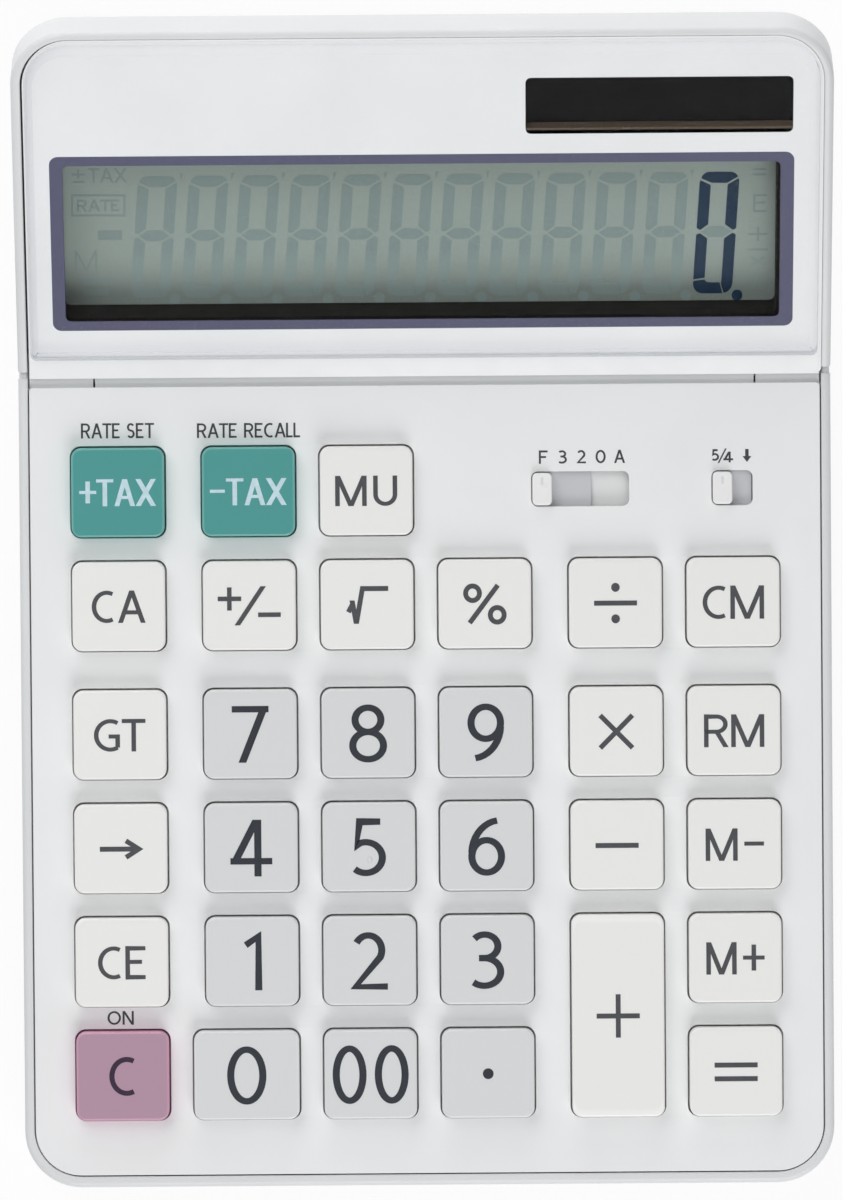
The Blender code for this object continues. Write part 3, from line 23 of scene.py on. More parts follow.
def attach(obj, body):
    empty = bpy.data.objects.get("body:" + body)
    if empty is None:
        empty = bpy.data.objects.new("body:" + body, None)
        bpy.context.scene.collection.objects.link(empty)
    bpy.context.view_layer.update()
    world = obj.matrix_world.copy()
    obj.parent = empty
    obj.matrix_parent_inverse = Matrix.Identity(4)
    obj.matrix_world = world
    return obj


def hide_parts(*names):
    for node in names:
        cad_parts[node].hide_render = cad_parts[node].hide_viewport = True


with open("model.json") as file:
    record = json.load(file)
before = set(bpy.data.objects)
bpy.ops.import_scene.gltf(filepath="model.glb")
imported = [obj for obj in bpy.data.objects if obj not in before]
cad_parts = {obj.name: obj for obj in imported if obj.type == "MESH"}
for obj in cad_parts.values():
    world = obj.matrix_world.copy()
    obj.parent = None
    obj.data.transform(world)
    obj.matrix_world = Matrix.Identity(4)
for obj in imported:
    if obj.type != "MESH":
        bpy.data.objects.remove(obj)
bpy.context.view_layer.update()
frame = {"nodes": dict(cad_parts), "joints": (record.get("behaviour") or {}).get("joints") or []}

LOG = logging.getLogger("calculator")
MM = 0.001
WELD = 0.001 * MM  # points closer than this are one
ARC_STEP = 9  # degrees
LEVEL_NORMAL = 0.99  # the least Z of a level face's normal

# Faces that meet at less than the first are one; edges over the others stay sharp or are rounded
FLAT_ANGLE = math.radians(0.6)
CUT_ANGLE = math.radians(35)
EASED_ANGLE = math.radians(40)
RIM_ANGLE = math.radians(45)
SOFT_ANGLE = math.radians(50)

CORNERS = ("front_left", "front_right", "rear_left", "rear_right")

Point = tuple[float, float]
Colour = tuple[float, float, float]


def shade(red: int, green: int, blue: int) -> Colour:
    """Turns a colour as seen on a screen into the linear values that shaders take.

    Args:
        red: Red, from 0 to 255.
        green: Green, from 0 to 255.
        blue: Blue, from 0 to 255.

    Returns:
        The linear red, green and blue.
    """
    def linear(value: int) -> float:
        """Undoes the screen's curve for one channel."""
        part = value / 255
        return part / 12.92 if part <= 0.04045 else ((part + 0.055) / 1.055) ** 2.4

    return linear(red), linear(green), linear(blue)


class Body(Enum):
    """The moving bodies that pieces ride on, apart from the keys."""

    CASING = "casing"
    DISPLAY = "display"
    DECIMAL_SWITCH = "decimal_switch_body"
    ROUNDING_SWITCH = "rounding_switch_body"


# Benches, the photograph's view and its pixels


@dataclass(frozen=True)
class Bench:
    """A leaning frame of reference that pieces are laid out on."""

    origin: Vector
    lean: float

    @property
    def matrix(self) -> Matrix:
        """The bench's place in the world."""
        return Matrix.Translation(self.origin) @ Matrix.Rotation(self.lean, 4, "X")

    def box(self, node: str) -> tuple[Vector, Vector]:
        """Measures a CAD node on the bench.

        Args:
            node: The node's name.

        Returns:
            Its lowest and highest corner in bench coordinates.
        """
        inverse = self.matrix.inverted()
        places = [inverse @ vert.co for vert in frame["nodes"][node].data.vertices]
        low = Vector([min(place[axis] for place in places) for axis in range(3)])
        high = Vector([max(place[axis] for place in places) for axis in range(3)])
        return low, high


HINGE_AXIS = Vector(next(joint["pos_m"] for joint in frame["joints"] if joint["name"] == "display_tilt"))
KEYBOARD = Bench(HINGE_AXIS, math.radians(2.5))
DISPLAY = Bench(HINGE_AXIS, math.radians(25.0))
DESK = Bench(Vector((0, 0, 0)), 0.0)


@dataclass(frozen=True)
class Photograph:
    """The view that the photograph was taken from, straight above and far away."""

    width: int = 843
    height: int = 1200
    focal_pixels: float = 9294.7
    film_height: float = 36.0
    place: Vector = field(default_factory=lambda: Vector((-0.698 * MM, 0.72 * MM, 1481 * MM)))
    roll: float = math.radians(0.427)

    def spot(self, x: float, y: float, bench: Bench, height: float) -> Point:
        """Carries a pixel onto a plane of a bench.

        Args:
            x: Pixels from the left edge.
            y: Pixels from the top edge.
            bench: The bench.
            height: The plane's height off the bench's origin.

        Returns:
            The spot's X and Y on the bench.
        """
        across = (x - self.width / 2) / self.focal_pixels
        down = (y - self.height / 2) / self.focal_pixels
        ray = Matrix.Rotation(-self.roll, 3, "Z") @ Vector((across, -down, -1))
        inverse = bench.matrix.inverted()
        start = inverse @ self.place
        course = inverse.to_3x3() @ ray
        found = start + course * ((height - start.z) / course.z)
        return found.x, found.y

    def box(self, pixels: Sequence[float], bench: Bench, height: float) -> tuple[Point, Point]:
        """Carries a box of pixels onto a plane of a bench.

        Args:
            pixels: Its left, upper, right and lower edge.
            bench: The bench.
            height: The plane's height off the bench's origin.

        Returns:
            The centre and the size on the bench.
        """
        left, upper, right, lower = pixels
        first, second = self.spot(left, lower, bench, height), self.spot(right, upper, bench, height)
        return middle(first, second), (second[0] - first[0], second[1] - first[1])

    def camera(self) -> bpy.types.Object:
        """Sets up the camera and makes it the scene's own.

        Returns:
            The camera.
        """
        data = bpy.data.cameras.new("camera")
        data.sensor_fit = "VERTICAL"
        data.sensor_height = self.film_height
        data.lens = self.focal_pixels / self.height * self.film_height
        data.clip_end = 10.0
        camera = bpy.data.objects.new("camera", data)
        camera.location = self.place
        camera.rotation_euler = (0, 0, -self.roll)
        bpy.context.scene.collection.objects.link(camera)
        bpy.context.scene.camera = camera
        return camera


PHOTO = Photograph()


# Shader nodes and finishes


class Recipe:
    """A material being mixed: its node tree, with short calls for the nodes that finishes share."""

    def __init__(self, name: str) -> None:
        """Starts an empty material.

        Args:
            name: The material's name.
        """
        self.material = bpy.data.materials.new(name)
        self.material.use_nodes = True
        self.tree = self.material.node_tree
        self.tree.nodes.clear()
        self.output = self.tree.nodes.new("ShaderNodeOutputMaterial")
        self.coordinates = self.tree.nodes.new("ShaderNodeTexCoord")

    def node(self, kind: str, links: dict[str | int, object] | None = None, **settings: object) -> bpy.types.Node:
        """Adds a node.

        Args:
            kind: The node's type.
            links: Input names or places, each with a socket to link or a value to set.
            settings: The node's own properties.

        Returns:
            The node.
        """
        made = self.tree.nodes.new(kind)
        for key, value in settings.items():
            setattr(made, key, value)
        for key, value in (links or {}).items():
            if isinstance(value, bpy.types.NodeSocket):
                self.tree.links.new(value, made.inputs[key])
            else:
                made.inputs[key].default_value = value
        return made

    def noise(self, scale: float, detail: float = 2.0, stretch: Colour = (1, 1, 1)) -> bpy.types.NodeSocket:
        """Adds noise over the object's own coordinates.

        Args:
            scale: How many patches fit in a metre.
            detail: How many octaves it has.
            stretch: Scale along each axis.

        Returns:
            The noise's value.
        """
        mapping = self.node("ShaderNodeMapping", {"Vector": self.coordinates.outputs["Object"], "Scale": stretch})
        noise = self.node("ShaderNodeTexNoise", {"Vector": mapping.outputs[0], "Scale": scale, "Detail": detail})
        return noise.outputs["Fac"]

    def span(self, value: bpy.types.NodeSocket, low: float, high: float,
             start: float = 0.35, end: float = 0.65) -> bpy.types.NodeSocket:
        """Maps a value from one span to another.

        Args:
            value: What is mapped.
            low: The result at the span's start.
            high: The result at the span's end.
            start: Where the span starts.
            end: Where the span ends.

        Returns:
            The mapped value.
        """
        names = ("From Min", "From Max", "To Min", "To Max")
        links = {"Value": value} | dict(zip(names, (start, end, low, high)))
        return self.node("ShaderNodeMapRange", links).outputs["Result"]

    def blend(self, factor: object, first: object, second: object) -> bpy.types.NodeSocket:
        """Mixes two colours.

        Args:
            factor: How much of the second there is.
            first: A colour or a socket.
            second: A colour or a socket.

        Returns:
            The mixed colour.
        """
        mix = self.tree.nodes.new("ShaderNodeMix")
        mix.data_type = "RGBA"
        for place, value in ((0, factor), (6, first), (7, second)):
            if isinstance(value, bpy.types.NodeSocket):
                self.tree.links.new(value, mix.inputs[place])
            else:
                mix.inputs[place].default_value = (*value, 1.0) if isinstance(value, tuple) else value
        return mix.outputs[2]

    def sums(self, operation: str, first: object, second: object = 0.0, third: float = 0.0) -> bpy.types.NodeSocket:
        """Works out numbers or sockets; the third may be the distance of a smooth minimum."""
        return self.node("ShaderNodeMath", {0: first, 1: second, 2: third}, operation=operation).outputs[0]

    def bump(self, height: bpy.types.NodeSocket, distance: float, strength: float = 1.0) -> bpy.types.NodeSocket:
        """Turns a height from 0 to 1 into a normal bumped by a real distance."""
        links = {"Height": height, "Distance": distance, "Strength": strength}
        return self.node("ShaderNodeBump", links).outputs["Normal"]

    def principled(self, colour: object, roughness: object, **sockets: object) -> bpy.types.Node:
        """Adds the main shader.

        Args:
            colour: The base colour or its socket.
            roughness: The roughness or its socket.
            sockets: Other inputs, with underscores for spaces.

        Returns:
            The shader's node.
        """
        if isinstance(colour, tuple):
            colour = (*colour, 1.0)
        links = {"Base Color": colour, "Roughness": roughness}
        links |= {key.replace("_", " "): value for key, value in sockets.items()}
        return self.node("ShaderNodeBsdfPrincipled", links)

    def axes(self, kind: str) -> Sequence[bpy.types.NodeSocket]:
        """Splits one kind of coordinates into its three axes."""
        return self.node("ShaderNodeSeparateXYZ", {0: self.coordinates.outputs[kind]}).outputs

    def mixed(self, share: object, first: bpy.types.Node, second: bpy.types.Node) -> bpy.types.Node:
        """Lays a share of a second shader over a first one."""
        return self.node("ShaderNodeMixShader", {0: share, 1: first.outputs[0], 2: second.outputs[0]})

    def serve(self, shader: bpy.types.Node) -> bpy.types.Material:
        """Links a shader to the material's surface and gives the material back."""
        self.tree.links.new(shader.outputs[0], self.output.inputs["Surface"])
        return self.material


class Finish(Protocol):
    """What every finish offers: its name, and its material mixed on demand."""

    name: str

    def material(self) -> bpy.types.Material:
        """Mixes the finish."""


def scaled(colour: Colour, share: float) -> Colour:
    """Makes a colour darker, or lighter if the share is over one."""
    return tuple(channel * share for channel in colour)


@dataclass(frozen=True)
class Plastic:
    """Moulded plastic with a fine grain, faint cloudiness and uneven gloss."""

    name: str
    colour: Colour
    roughness: float = 0.42
    grain: float = 2600.0
    grain_height: float = 0.004 * MM
    cloud_share: float = 0.97
    shine: float = 0.5

    def material(self) -> bpy.types.Material:
        """Mixes the finish.

        Returns:
            Its material.
        """
        recipe = Recipe(self.name)
        cloud = recipe.span(recipe.noise(45.0, 3.0), 0.0, 1.0)
        colour = recipe.blend(cloud, scaled(self.colour, self.cloud_share), self.colour)
        speck = recipe.noise(self.grain, 2.0)
        gloss = recipe.span(recipe.noise(320.0, 4.0), self.roughness * 0.9, self.roughness * 1.12)
        normal = recipe.bump(speck, self.grain_height, 0.6)
        return recipe.serve(recipe.principled(colour, gloss, Normal=normal, Specular_IOR_Level=self.shine))


@dataclass(frozen=True)
class KeyPlastic:
    """Smooth key plastic with a painted highlight: its edges are painted lighter than the middle, as where the rounded
    edge catches the light.
    """

    name: str
    middle: Colour
    # colour of the painted highlight along the cap's edges
    edge: Colour
    rim_share: float = 0.043
    edge_share: float = 0.060
    corner_share: float = 0.13
    roughness: float = 0.30
    coat: float = 0.05
    coat_roughness: float = 0.12

    def material(self) -> bpy.types.Material:
        """Mixes the finish.

        Returns:
            Its material.
        """
        recipe = Recipe(self.name)
        axes = recipe.axes("Generated")
        nearest: object = 1.0
        for axis in (0, 1):
            off_middle = recipe.sums("ABSOLUTE", recipe.sums("SUBTRACT", axes[axis], 0.5))
            to_edge = recipe.sums("SUBTRACT", 0.5, off_middle)
            nearest = recipe.sums("SMOOTH_MIN", nearest, to_edge, self.corner_share)
        # painted highlight: near the cap's edges the colour turns to the lighter edge colour
        painted_highlight = recipe.span(nearest, 1.0, 0.0, self.rim_share, self.edge_share)
        cloud = recipe.span(recipe.noise(130.0, 3.0), 0.0, 0.10)
        factor = recipe.sums("MULTIPLY", painted_highlight, recipe.sums("SUBTRACT", 1.0, cloud))
        colour = recipe.blend(factor, self.middle, self.edge)
        gloss = recipe.span(recipe.noise(420.0, 4.0), self.roughness * 0.97, self.roughness * 1.03)
        normal = recipe.bump(recipe.noise(3200.0, 2.0), 0.001 * MM, 0.3)
        coat = {"Coat_Weight": self.coat, "Coat_Roughness": self.coat_roughness}
        return recipe.serve(recipe.principled(colour, gloss, Normal=normal, **coat))


@dataclass(frozen=True)
class Ink:
    """Printed or moulded-in lettering, a little uneven in its cover."""

    name: str
    colour: Colour
    lift: float = 1.12
    roughness: float = 0.38
    shine: float = 0.12

    def material(self) -> bpy.types.Material:
        """Mixes the finish.

        Returns:
            Its material.
        """
        recipe = Recipe(self.name)
        cover = recipe.span(recipe.noise(900.0, 4.0), 0.0, 1.0)
        colour = recipe.blend(cover, self.colour, scaled(self.colour, self.lift))
        gloss = recipe.span(recipe.noise(700.0), self.roughness * 0.9, self.roughness * 1.1)
        normal = recipe.bump(recipe.noise(4200.0), 0.002 * MM, 0.4)
        return recipe.serve(recipe.principled(colour, gloss, Normal=normal, Specular_IOR_Level=self.shine))


@dataclass(frozen=True)
class ClearPane:
    """A clear moulded pane: what lies under it shows through, under a reflection that grows aslant."""

    name: str = "clear_pane"
    tint: Colour = (0.985, 0.99, 0.99)
    roughness: float = 0.03
    face_on_share: float = 0.0008
    grazing_share: float = 0.5

    def material(self) -> bpy.types.Material:
        """Mixes the finish.

        Returns:
            Its material.
        """
        recipe = Recipe(self.name)
        tint = recipe.blend(recipe.span(recipe.noise(60.0), 0.0, 1.0), self.tint, scaled(self.tint, 0.99))
        clear = recipe.node("ShaderNodeBsdfTransparent", {"Color": tint})
        normal = recipe.bump(recipe.noise(90.0, 1.0), 0.002 * MM, 0.3)
        gloss = recipe.node("ShaderNodeBsdfGlossy", {"Roughness": self.roughness, "Normal": normal})
        aslant = recipe.node("ShaderNodeLayerWeight", {"Blend": 0.5}).outputs["Facing"]
        steep = recipe.sums("MULTIPLY", recipe.sums("POWER", aslant, 4.0), self.grazing_share)
        mirror = recipe.sums("ADD", steep, self.face_on_share)
        return recipe.serve(recipe.mixed(mirror, clear, gloss))


@dataclass(frozen=True)
class PaneEdge:
    """The cut edges of a clear pane, with painted shade: their tint darkens them, and what shows through them, in front
    and at both sides, most in front.
    """

    name: str = "pane_edge"
    # painted shade: the front, left and right tints are darker than the other sides'
    front: Colour = (0.85, 0.86, 0.88)
    left: Colour = (0.90, 0.905, 0.915)
    right: Colour = (0.93, 0.93, 0.935)
    other: Colour = (0.975, 0.975, 0.98)
    front_shares: Point = (0.005, 0.030)
    left_shares: Point = (0.010, 0.070)
    right_shares: Point = (0.993, 0.9955)
    body_share: float = 0.10
    body_shine: float = 0.3

    def material(self) -> bpy.types.Material:
        """Mixes the finish.

        Returns:
            Its material.
        """
        recipe = Recipe(self.name)
        axes = recipe.axes("Generated")
        from_left = recipe.span(axes[0], 0.0, 1.0, *self.left_shares)
        to_right = recipe.span(axes[0], 0.0, 1.0, *self.right_shares)
        from_front = recipe.span(axes[1], 0.0, 1.0, *self.front_shares)
        # painted shade: darker tints at the left and right, then darkest in front
        sides = recipe.blend(to_right, recipe.blend(from_left, self.left, self.other), self.right)
        clear = recipe.node("ShaderNodeBsdfTransparent", {"Color": recipe.blend(from_front, self.front, sides)})
        gloss = recipe.span(recipe.noise(320.0), 0.22, 0.26)
        solid_colour = recipe.blend(from_front, self.front, self.other)
        body = recipe.principled(solid_colour, gloss, Specular_IOR_Level=self.body_shine)
        return recipe.serve(recipe.mixed(self.body_share, clear, body))


@dataclass(frozen=True)
class LiquidCrystal:
    """A mottled part of a reflective display, with painted light that makes it brighter towards its lower edge, against
    the shadow that the window's frame casts there.

    The brightening follows generated coordinates, so it acts on the segments but hardly on a plate.
    """

    name: str
    colour: Colour
    dim_share: float = 0.95
    mottle: float = 420.0
    shine: float = 0.08
    lower_painted_light_share: float = 0.40
    lower_painted_light_gain: float = 1.50
    fleck_gain: float = 1.14

    def material(self) -> bpy.types.Material:
        """Mixes the finish.

        Returns:
            Its material.
        """
        recipe = Recipe(self.name)
        broad = recipe.span(recipe.noise(28.0, 2.0), 0.0, 1.0)
        colour = recipe.blend(broad, scaled(self.colour, self.dim_share), self.colour)
        fine = recipe.span(recipe.noise(self.mottle * 6, 3.0), 0.0, 0.35)
        colour = recipe.blend(fine, colour, scaled(self.colour, self.fleck_gain))
        axes = recipe.axes("Generated")
        # painted light: brighter towards the lower edge, where the frame's shadow falls
        lower = recipe.span(axes[1], 1.0, 0.0, 0.0, self.lower_painted_light_share)
        colour = recipe.blend(lower, colour, scaled(self.colour, self.lower_painted_light_gain))
        gloss = recipe.span(recipe.noise(self.mottle), 0.30, 0.42)
        normal = recipe.bump(recipe.noise(self.mottle * 5), 0.002 * MM, 0.4)
        return recipe.serve(recipe.principled(colour, gloss, Normal=normal, Specular_IOR_Level=self.shine))


@dataclass(frozen=True)
class Metal:
    """Turned or rolled metal with fine drawn lines."""

    name: str
    colour: Colour
    roughness: float = 0.3
    lines: Colour = (1.0, 12.0, 1.0)

    def material(self) -> bpy.types.Material:
        """Mixes the finish.

        Returns:
            Its material.
        """
        recipe = Recipe(self.name)
        drawn = recipe.noise(500.0, 4.0, self.lines)
        colour = recipe.blend(recipe.span(drawn, 0.0, 1.0), scaled(self.colour, 0.82), self.colour)
        gloss = recipe.span(drawn, self.roughness * 0.8, self.roughness * 1.3)
        normal = recipe.bump(drawn, 0.003 * MM, 0.5)
        return recipe.serve(recipe.principled(colour, gloss, Normal=normal, Metallic=1.0))


@dataclass(frozen=True)
class Rubber:
    """Matte moulded rubber with a dusty grain."""

    name: str
    colour: Colour
    dust: Colour
    roughness: float = 0.78

    def material(self) -> bpy.types.Material:
        """Mixes the finish.

        Returns:
            Its material.
        """
        recipe = Recipe(self.name)
        dusty = recipe.span(recipe.noise(240.0, 5.0), 0.0, 0.5)
        colour = recipe.blend(dusty, self.colour, self.dust)
        rough = recipe.span(recipe.noise(800.0), self.roughness * 0.92, self.roughness * 1.08)
        normal = recipe.bump(recipe.noise(2200.0, 3.0), 0.012 * MM, 0.7)
        return recipe.serve(recipe.principled(colour, rough, Normal=normal))


@dataclass(frozen=True)
class Striped:
    """A surface with stripes along one axis, such as a cable's tracks or a cell's fine grid."""

    name: str
    ground: Colour
    stripe: Colour
    pitch: float
    stripe_share: float = 0.5
    roughness: float = 0.4
    shine: float = 0.5

    def material(self) -> bpy.types.Material:
        """Mixes the finish.

        Returns:
            Its material.
        """
        recipe = Recipe(self.name)
        axes = recipe.axes("Object")
        turns = recipe.sums("FRACT", recipe.sums("MULTIPLY", axes[0], 1 / self.pitch))
        on_stripe = recipe.sums("LESS_THAN", turns, self.stripe_share)
        worn = recipe.span(recipe.noise(600.0, 3.0), 0.75, 1.0)
        colour = recipe.blend(recipe.sums("MULTIPLY", on_stripe, worn), self.ground, self.stripe)
        gloss = recipe.span(recipe.noise(500.0), self.roughness * 0.85, self.roughness * 1.15)
        normal = recipe.bump(on_stripe, 0.01 * MM, 0.5)
        return recipe.serve(recipe.principled(colour, gloss, Normal=normal, Specular_IOR_Level=self.shine))


@dataclass(frozen=True)
class PaleFloor:
    """A plain pale floor that the camera sees as white under the object's soft shadow."""

    name: str = "pale_floor"
    white_share: float = 0.90
    colour: Colour = (0.93, 0.93, 0.93)

    def material(self) -> bpy.types.Material:
        """Mixes the finish.

        Returns:
            Its material.
        """
        recipe = Recipe(self.name)
        tone = recipe.span(recipe.noise(3.0), 0.0, 1.0)
        plain = recipe.principled(recipe.blend(tone, scaled(self.colour, 0.99), self.colour), 0.9)
        white = recipe.node("ShaderNodeEmission", {"Color": (1, 1, 1, 1), "Strength": 1.0})
        path = recipe.node("ShaderNodeLightPath")
        straight = recipe.sums("MAXIMUM", path.outputs["Is Camera Ray"], path.outputs["Is Glossy Ray"])
        seen = recipe.sums("MAXIMUM", straight, path.outputs["Is Transmission Ray"])
        factor = recipe.sums("MULTIPLY", seen, self.white_share)
        return recipe.serve(recipe.mixed(factor, plain, white))


# painted shade: the casing's plastic is darker than the cover's, so that the sloping rims of the casing and the display
# shell look shaded
CASE_PLASTIC = Plastic("case_plastic", shade(223, 225, 226), roughness=0.40)
COVER_PLASTIC = Plastic("cover_plastic", shade(240, 241, 242), roughness=0.38, grain_height=0.003 * MM)
# the second colour of each key finish is its painted highlight along the cap's edges
WHITE_KEY = KeyPlastic("white_key_plastic", shade(241, 241, 239), shade(248, 248, 246))
GREY_KEY = KeyPlastic("grey_key_plastic", shade(220, 222, 223), shade(236, 237, 237))
TEAL_KEY = KeyPlastic("teal_key_plastic", shade(68, 150, 146), shade(122, 192, 186), edge_share=0.066)
MAUVE_KEY = KeyPlastic("mauve_key_plastic", shade(178, 144, 164), shade(222, 164, 192), edge_share=0.066)
KNOB_PLASTIC = Plastic("knob_plastic", shade(242, 242, 242), roughness=0.30, grain_height=0.002 * MM)
SKIRT_PLASTIC = Plastic("skirt_plastic", shade(200, 202, 206), roughness=0.45)
# painted shade: the flat grey mark stands for the shaded notch of the knob's pointer
POINTER_NOTCH_SHADE = Plastic("pointer_notch_shade", shade(222, 224, 227), roughness=0.45)
SWITCH_PLASTIC = Plastic("switch_plastic", shade(238, 240, 240), roughness=0.45)
PANE_PRINT = Plastic("pane_print", shade(245, 246, 248), roughness=0.30, grain_height=0.001 * MM, shine=0.2)
SLATE_PRINT = Ink("slate_print", shade(92, 92, 117), lift=1.05)
WELL_PLASTIC = Plastic("well_plastic", shade(30, 27, 25), 0.6, grain_height=0.01 * MM, cloud_share=0.8, shine=0.1)
WINDOW_SHADE = Plastic("window_shade", shade(96, 84, 72), roughness=0.5, shine=0.1)
DARK_INK = Ink("dark_ink", shade(56, 59, 65))
GREY_INK = Ink("grey_ink", shade(80, 82, 85))
LABEL_INK = Ink("label_ink", shade(70, 72, 74))
PALE_INK = Ink("pale_ink", shade(196, 220, 229))
PLUM_INK = Ink("plum_ink", shade(62, 48, 66))
LCD_LAYER = LiquidCrystal("lcd_layer", shade(161, 173, 167))
LCD_GHOST = LiquidCrystal("lcd_ghost", shade(141, 158, 155))
LCD_ACTIVE = LiquidCrystal("lcd_active", shade(36, 57, 80), dim_share=0.85)
STEEL = Metal("steel_finish", (0.60, 0.60, 0.61))
SPRING_STEEL = Metal("spring_steel_finish", (0.68, 0.66, 0.60), 0.35)
CELL_STEEL = Metal("cell_steel_finish", (0.70, 0.70, 0.70), 0.22, (1.0, 1.0, 1.0))
FOOT_RUBBER = Rubber("foot_rubber_finish", shade(62, 62, 64), shade(120, 118, 114))
SHEET_RUBBER = Rubber("sheet_rubber_finish", shade(176, 178, 182), shade(196, 196, 196), 0.7)
WASHER_PLASTIC = Plastic("washer_finish", (0.12, 0.12, 0.13), roughness=0.5, cloud_share=0.9)
SOLAR_FILM = Striped("solar_film", shade(6, 6, 8), shade(14, 12, 14), 10.4 * MM, 0.03, 0.20, shine=0.03)
BOARD_RESIST = Striped("board_resist", (0.03, 0.16, 0.07), (0.05, 0.24, 0.11), 1.3 * MM, 0.4, 0.45)
RIBBON_FILM = Striped("ribbon_film_finish", (0.50, 0.30, 0.10), (0.62, 0.42, 0.20), 1.0 * MM, 0.5, 0.35)


@cache
def finish_of(recipe: Finish) -> bpy.types.Material:
    """Gives a finish's material, mixed once."""
    return recipe.material()


# Mesh work that the pieces share


def arc(centre: Point, radii: Point, start: float, end: float, steps: int = 0) -> list[Point]:
    """Points along an upright ellipse's arc.

    Args:
        centre: The ellipse's centre.
        radii: Its half width and half height.
        start: Where the arc starts, in degrees from +X, turning towards +Y.
        end: Where it ends.
        steps: How many parts it has, or 0 for parts of about ARC_STEP degrees.

    Returns:
        The points.
    """
    count = steps or max(2, round(abs(end - start) / ARC_STEP))
    angles = [math.radians(start + (end - start) * step / count) for step in range(count + 1)]
    return [(centre[0] + radii[0] * math.cos(a), centre[1] + radii[1] * math.sin(a)) for a in angles]


def disc(centre: Point, radii: Point, turn: int = 1) -> list[Point]:
    """The outline of an upright ellipse, whose last part is two steps long, turning one way or the other."""
    return arc(centre, radii, 0, turn * (360 - 2 * ARC_STEP))


def around(centre: Sequence[float], width: float, length: float) -> tuple[Point, Point]:
    """The low and high corners of a rectangle about its centre."""
    return (centre[0] - width / 2, centre[1] - length / 2), (centre[0] + width / 2, centre[1] + length / 2)


def grown(box: tuple[Vector, Vector], margin: float) -> tuple[Vector, Vector]:
    """A box with its four upright sides moved outwards."""
    reach = Vector((margin, margin, 0))
    return box[0] - reach, box[1] + reach


def box_corners(box: Sequence[float]) -> list[Point]:
    """The corners of a box of pixels, clockwise from its upper left."""
    left, upper, right, lower = box
    return [(left, upper), (right, upper), (right, lower), (left, lower)]


def round_rectangle(low: Sequence[float], high: Sequence[float], radii: Sequence[float],
                    steps: int = 10) -> list[Point]:
    """The outline of a rectangle with round corners, counterclockwise.

    Args:
        low: Its low corner.
        high: Its high corner.
        radii: The corner radii at the low left, low right, high right and high left.
        steps: How many parts each corner has.

    Returns:
        The points.
    """
    corners = [(low[0], low[1], 1, 1), (high[0], low[1], -1, 1), (high[0], high[1], -1, -1), (low[0], high[1], 1, -1)]
    points: list[Point] = []
    for turn, ((x, y, to_x, to_y), radius) in enumerate(zip(corners, radii)):
        start = 180 + 90 * turn
        centre = (x + to_x * radius, y + to_y * radius)
        points += arc(centre, (radius, radius), start, start + 90, steps)
    return points


def link(name: str, mesh: bpy.types.Mesh, bench: Bench) -> bpy.types.Object:
    """Adds an object that stands on a bench.

    Args:
        name: The object's name.
        mesh: Its mesh, in bench coordinates.
        bench: The bench.

    Returns:
        The object.
    """
    piece = bpy.data.objects.new(name, mesh)
    piece.matrix_world = bench.matrix
    bpy.context.scene.collection.objects.link(piece)
    return piece


def plate(name: str, bench: Bench, outlines: Iterable[Sequence[Point]], low: float, high: float,
          edge: float = 0.0) -> bpy.types.Object:
    """A flat plate with holes and softly rounded edges.

    Args:
        name: The piece's name.
        bench: The bench that it lies on.
        outlines: Its outline and the outlines of its holes.
        low: The height of its underside.
        high: The height of its upper side.
        edge: The radius of its edges.

    Returns:
        The piece.
    """
    curve = bpy.data.curves.new(name, "CURVE")
    curve.dimensions = "2D"
    curve.fill_mode = "BOTH"
    curve.extrude = (high - low) / 2 - edge
    curve.bevel_depth = edge
    curve.bevel_resolution = 2
    curve.offset = -edge
    for points in outlines:
        spline = curve.splines.new("POLY")
        spline.points.add(len(points) - 1)
        for target, point in zip(spline.points, points):
            target.co = (*point, 0, 1)
        spline.use_cyclic_u = True
    maker = bpy.data.objects.new(name + "_outline", curve)
    bpy.context.scene.collection.objects.link(maker)
    bpy.context.view_layer.update()
    mesh = bpy.data.meshes.new_from_object(maker.evaluated_get(bpy.context.evaluated_depsgraph_get()))
    bpy.data.objects.remove(maker)
    bpy.data.curves.remove(curve)
    mesh.name = name  # it keeps the curve's wide texture space, which generated coordinates follow
    bm = bmesh.new()
    bm.from_mesh(mesh)
    bmesh.ops.remove_doubles(bm, verts=bm.verts, dist=WELD)
    bmesh.ops.translate(bm, verts=bm.verts, vec=(0, 0, (low + high) / 2))
    bmesh.ops.recalc_face_normals(bm, faces=bm.faces)
    bm.to_mesh(mesh)
    bm.free()
    mesh.materials.clear()
    return soften_shading(link(name, mesh, bench))


def soften_shading(piece: bpy.types.Object) -> bpy.types.Object:
    """Shades a piece smooth, with its broad faces left flat and its sharp edges kept.

    Args:
        piece: The piece.

    Returns:
        The piece.
    """
    piece.data.shade_smooth()
    piece.data.set_sharp_from_angle(angle=SOFT_ANGLE)
    modifier = piece.modifiers.new("broad_faces", "WEIGHTED_NORMAL")
    modifier.keep_sharp = True
    modifier.weight = 100
    return piece


def solid(name: str, bench: Bench, bm: bmesh.types.BMesh) -> bpy.types.Object:
    """Turns a bmesh into a piece on a bench.

    Args:
        name: The piece's name.
        bench: The bench.
        bm: The mesh, which is freed.

    Returns:
        The piece.
    """
    bmesh.ops.recalc_face_normals(bm, faces=bm.faces)
    mesh = bpy.data.meshes.new(name)
    bm.to_mesh(mesh)
    bm.free()
    return soften_shading(link(name, mesh, bench))


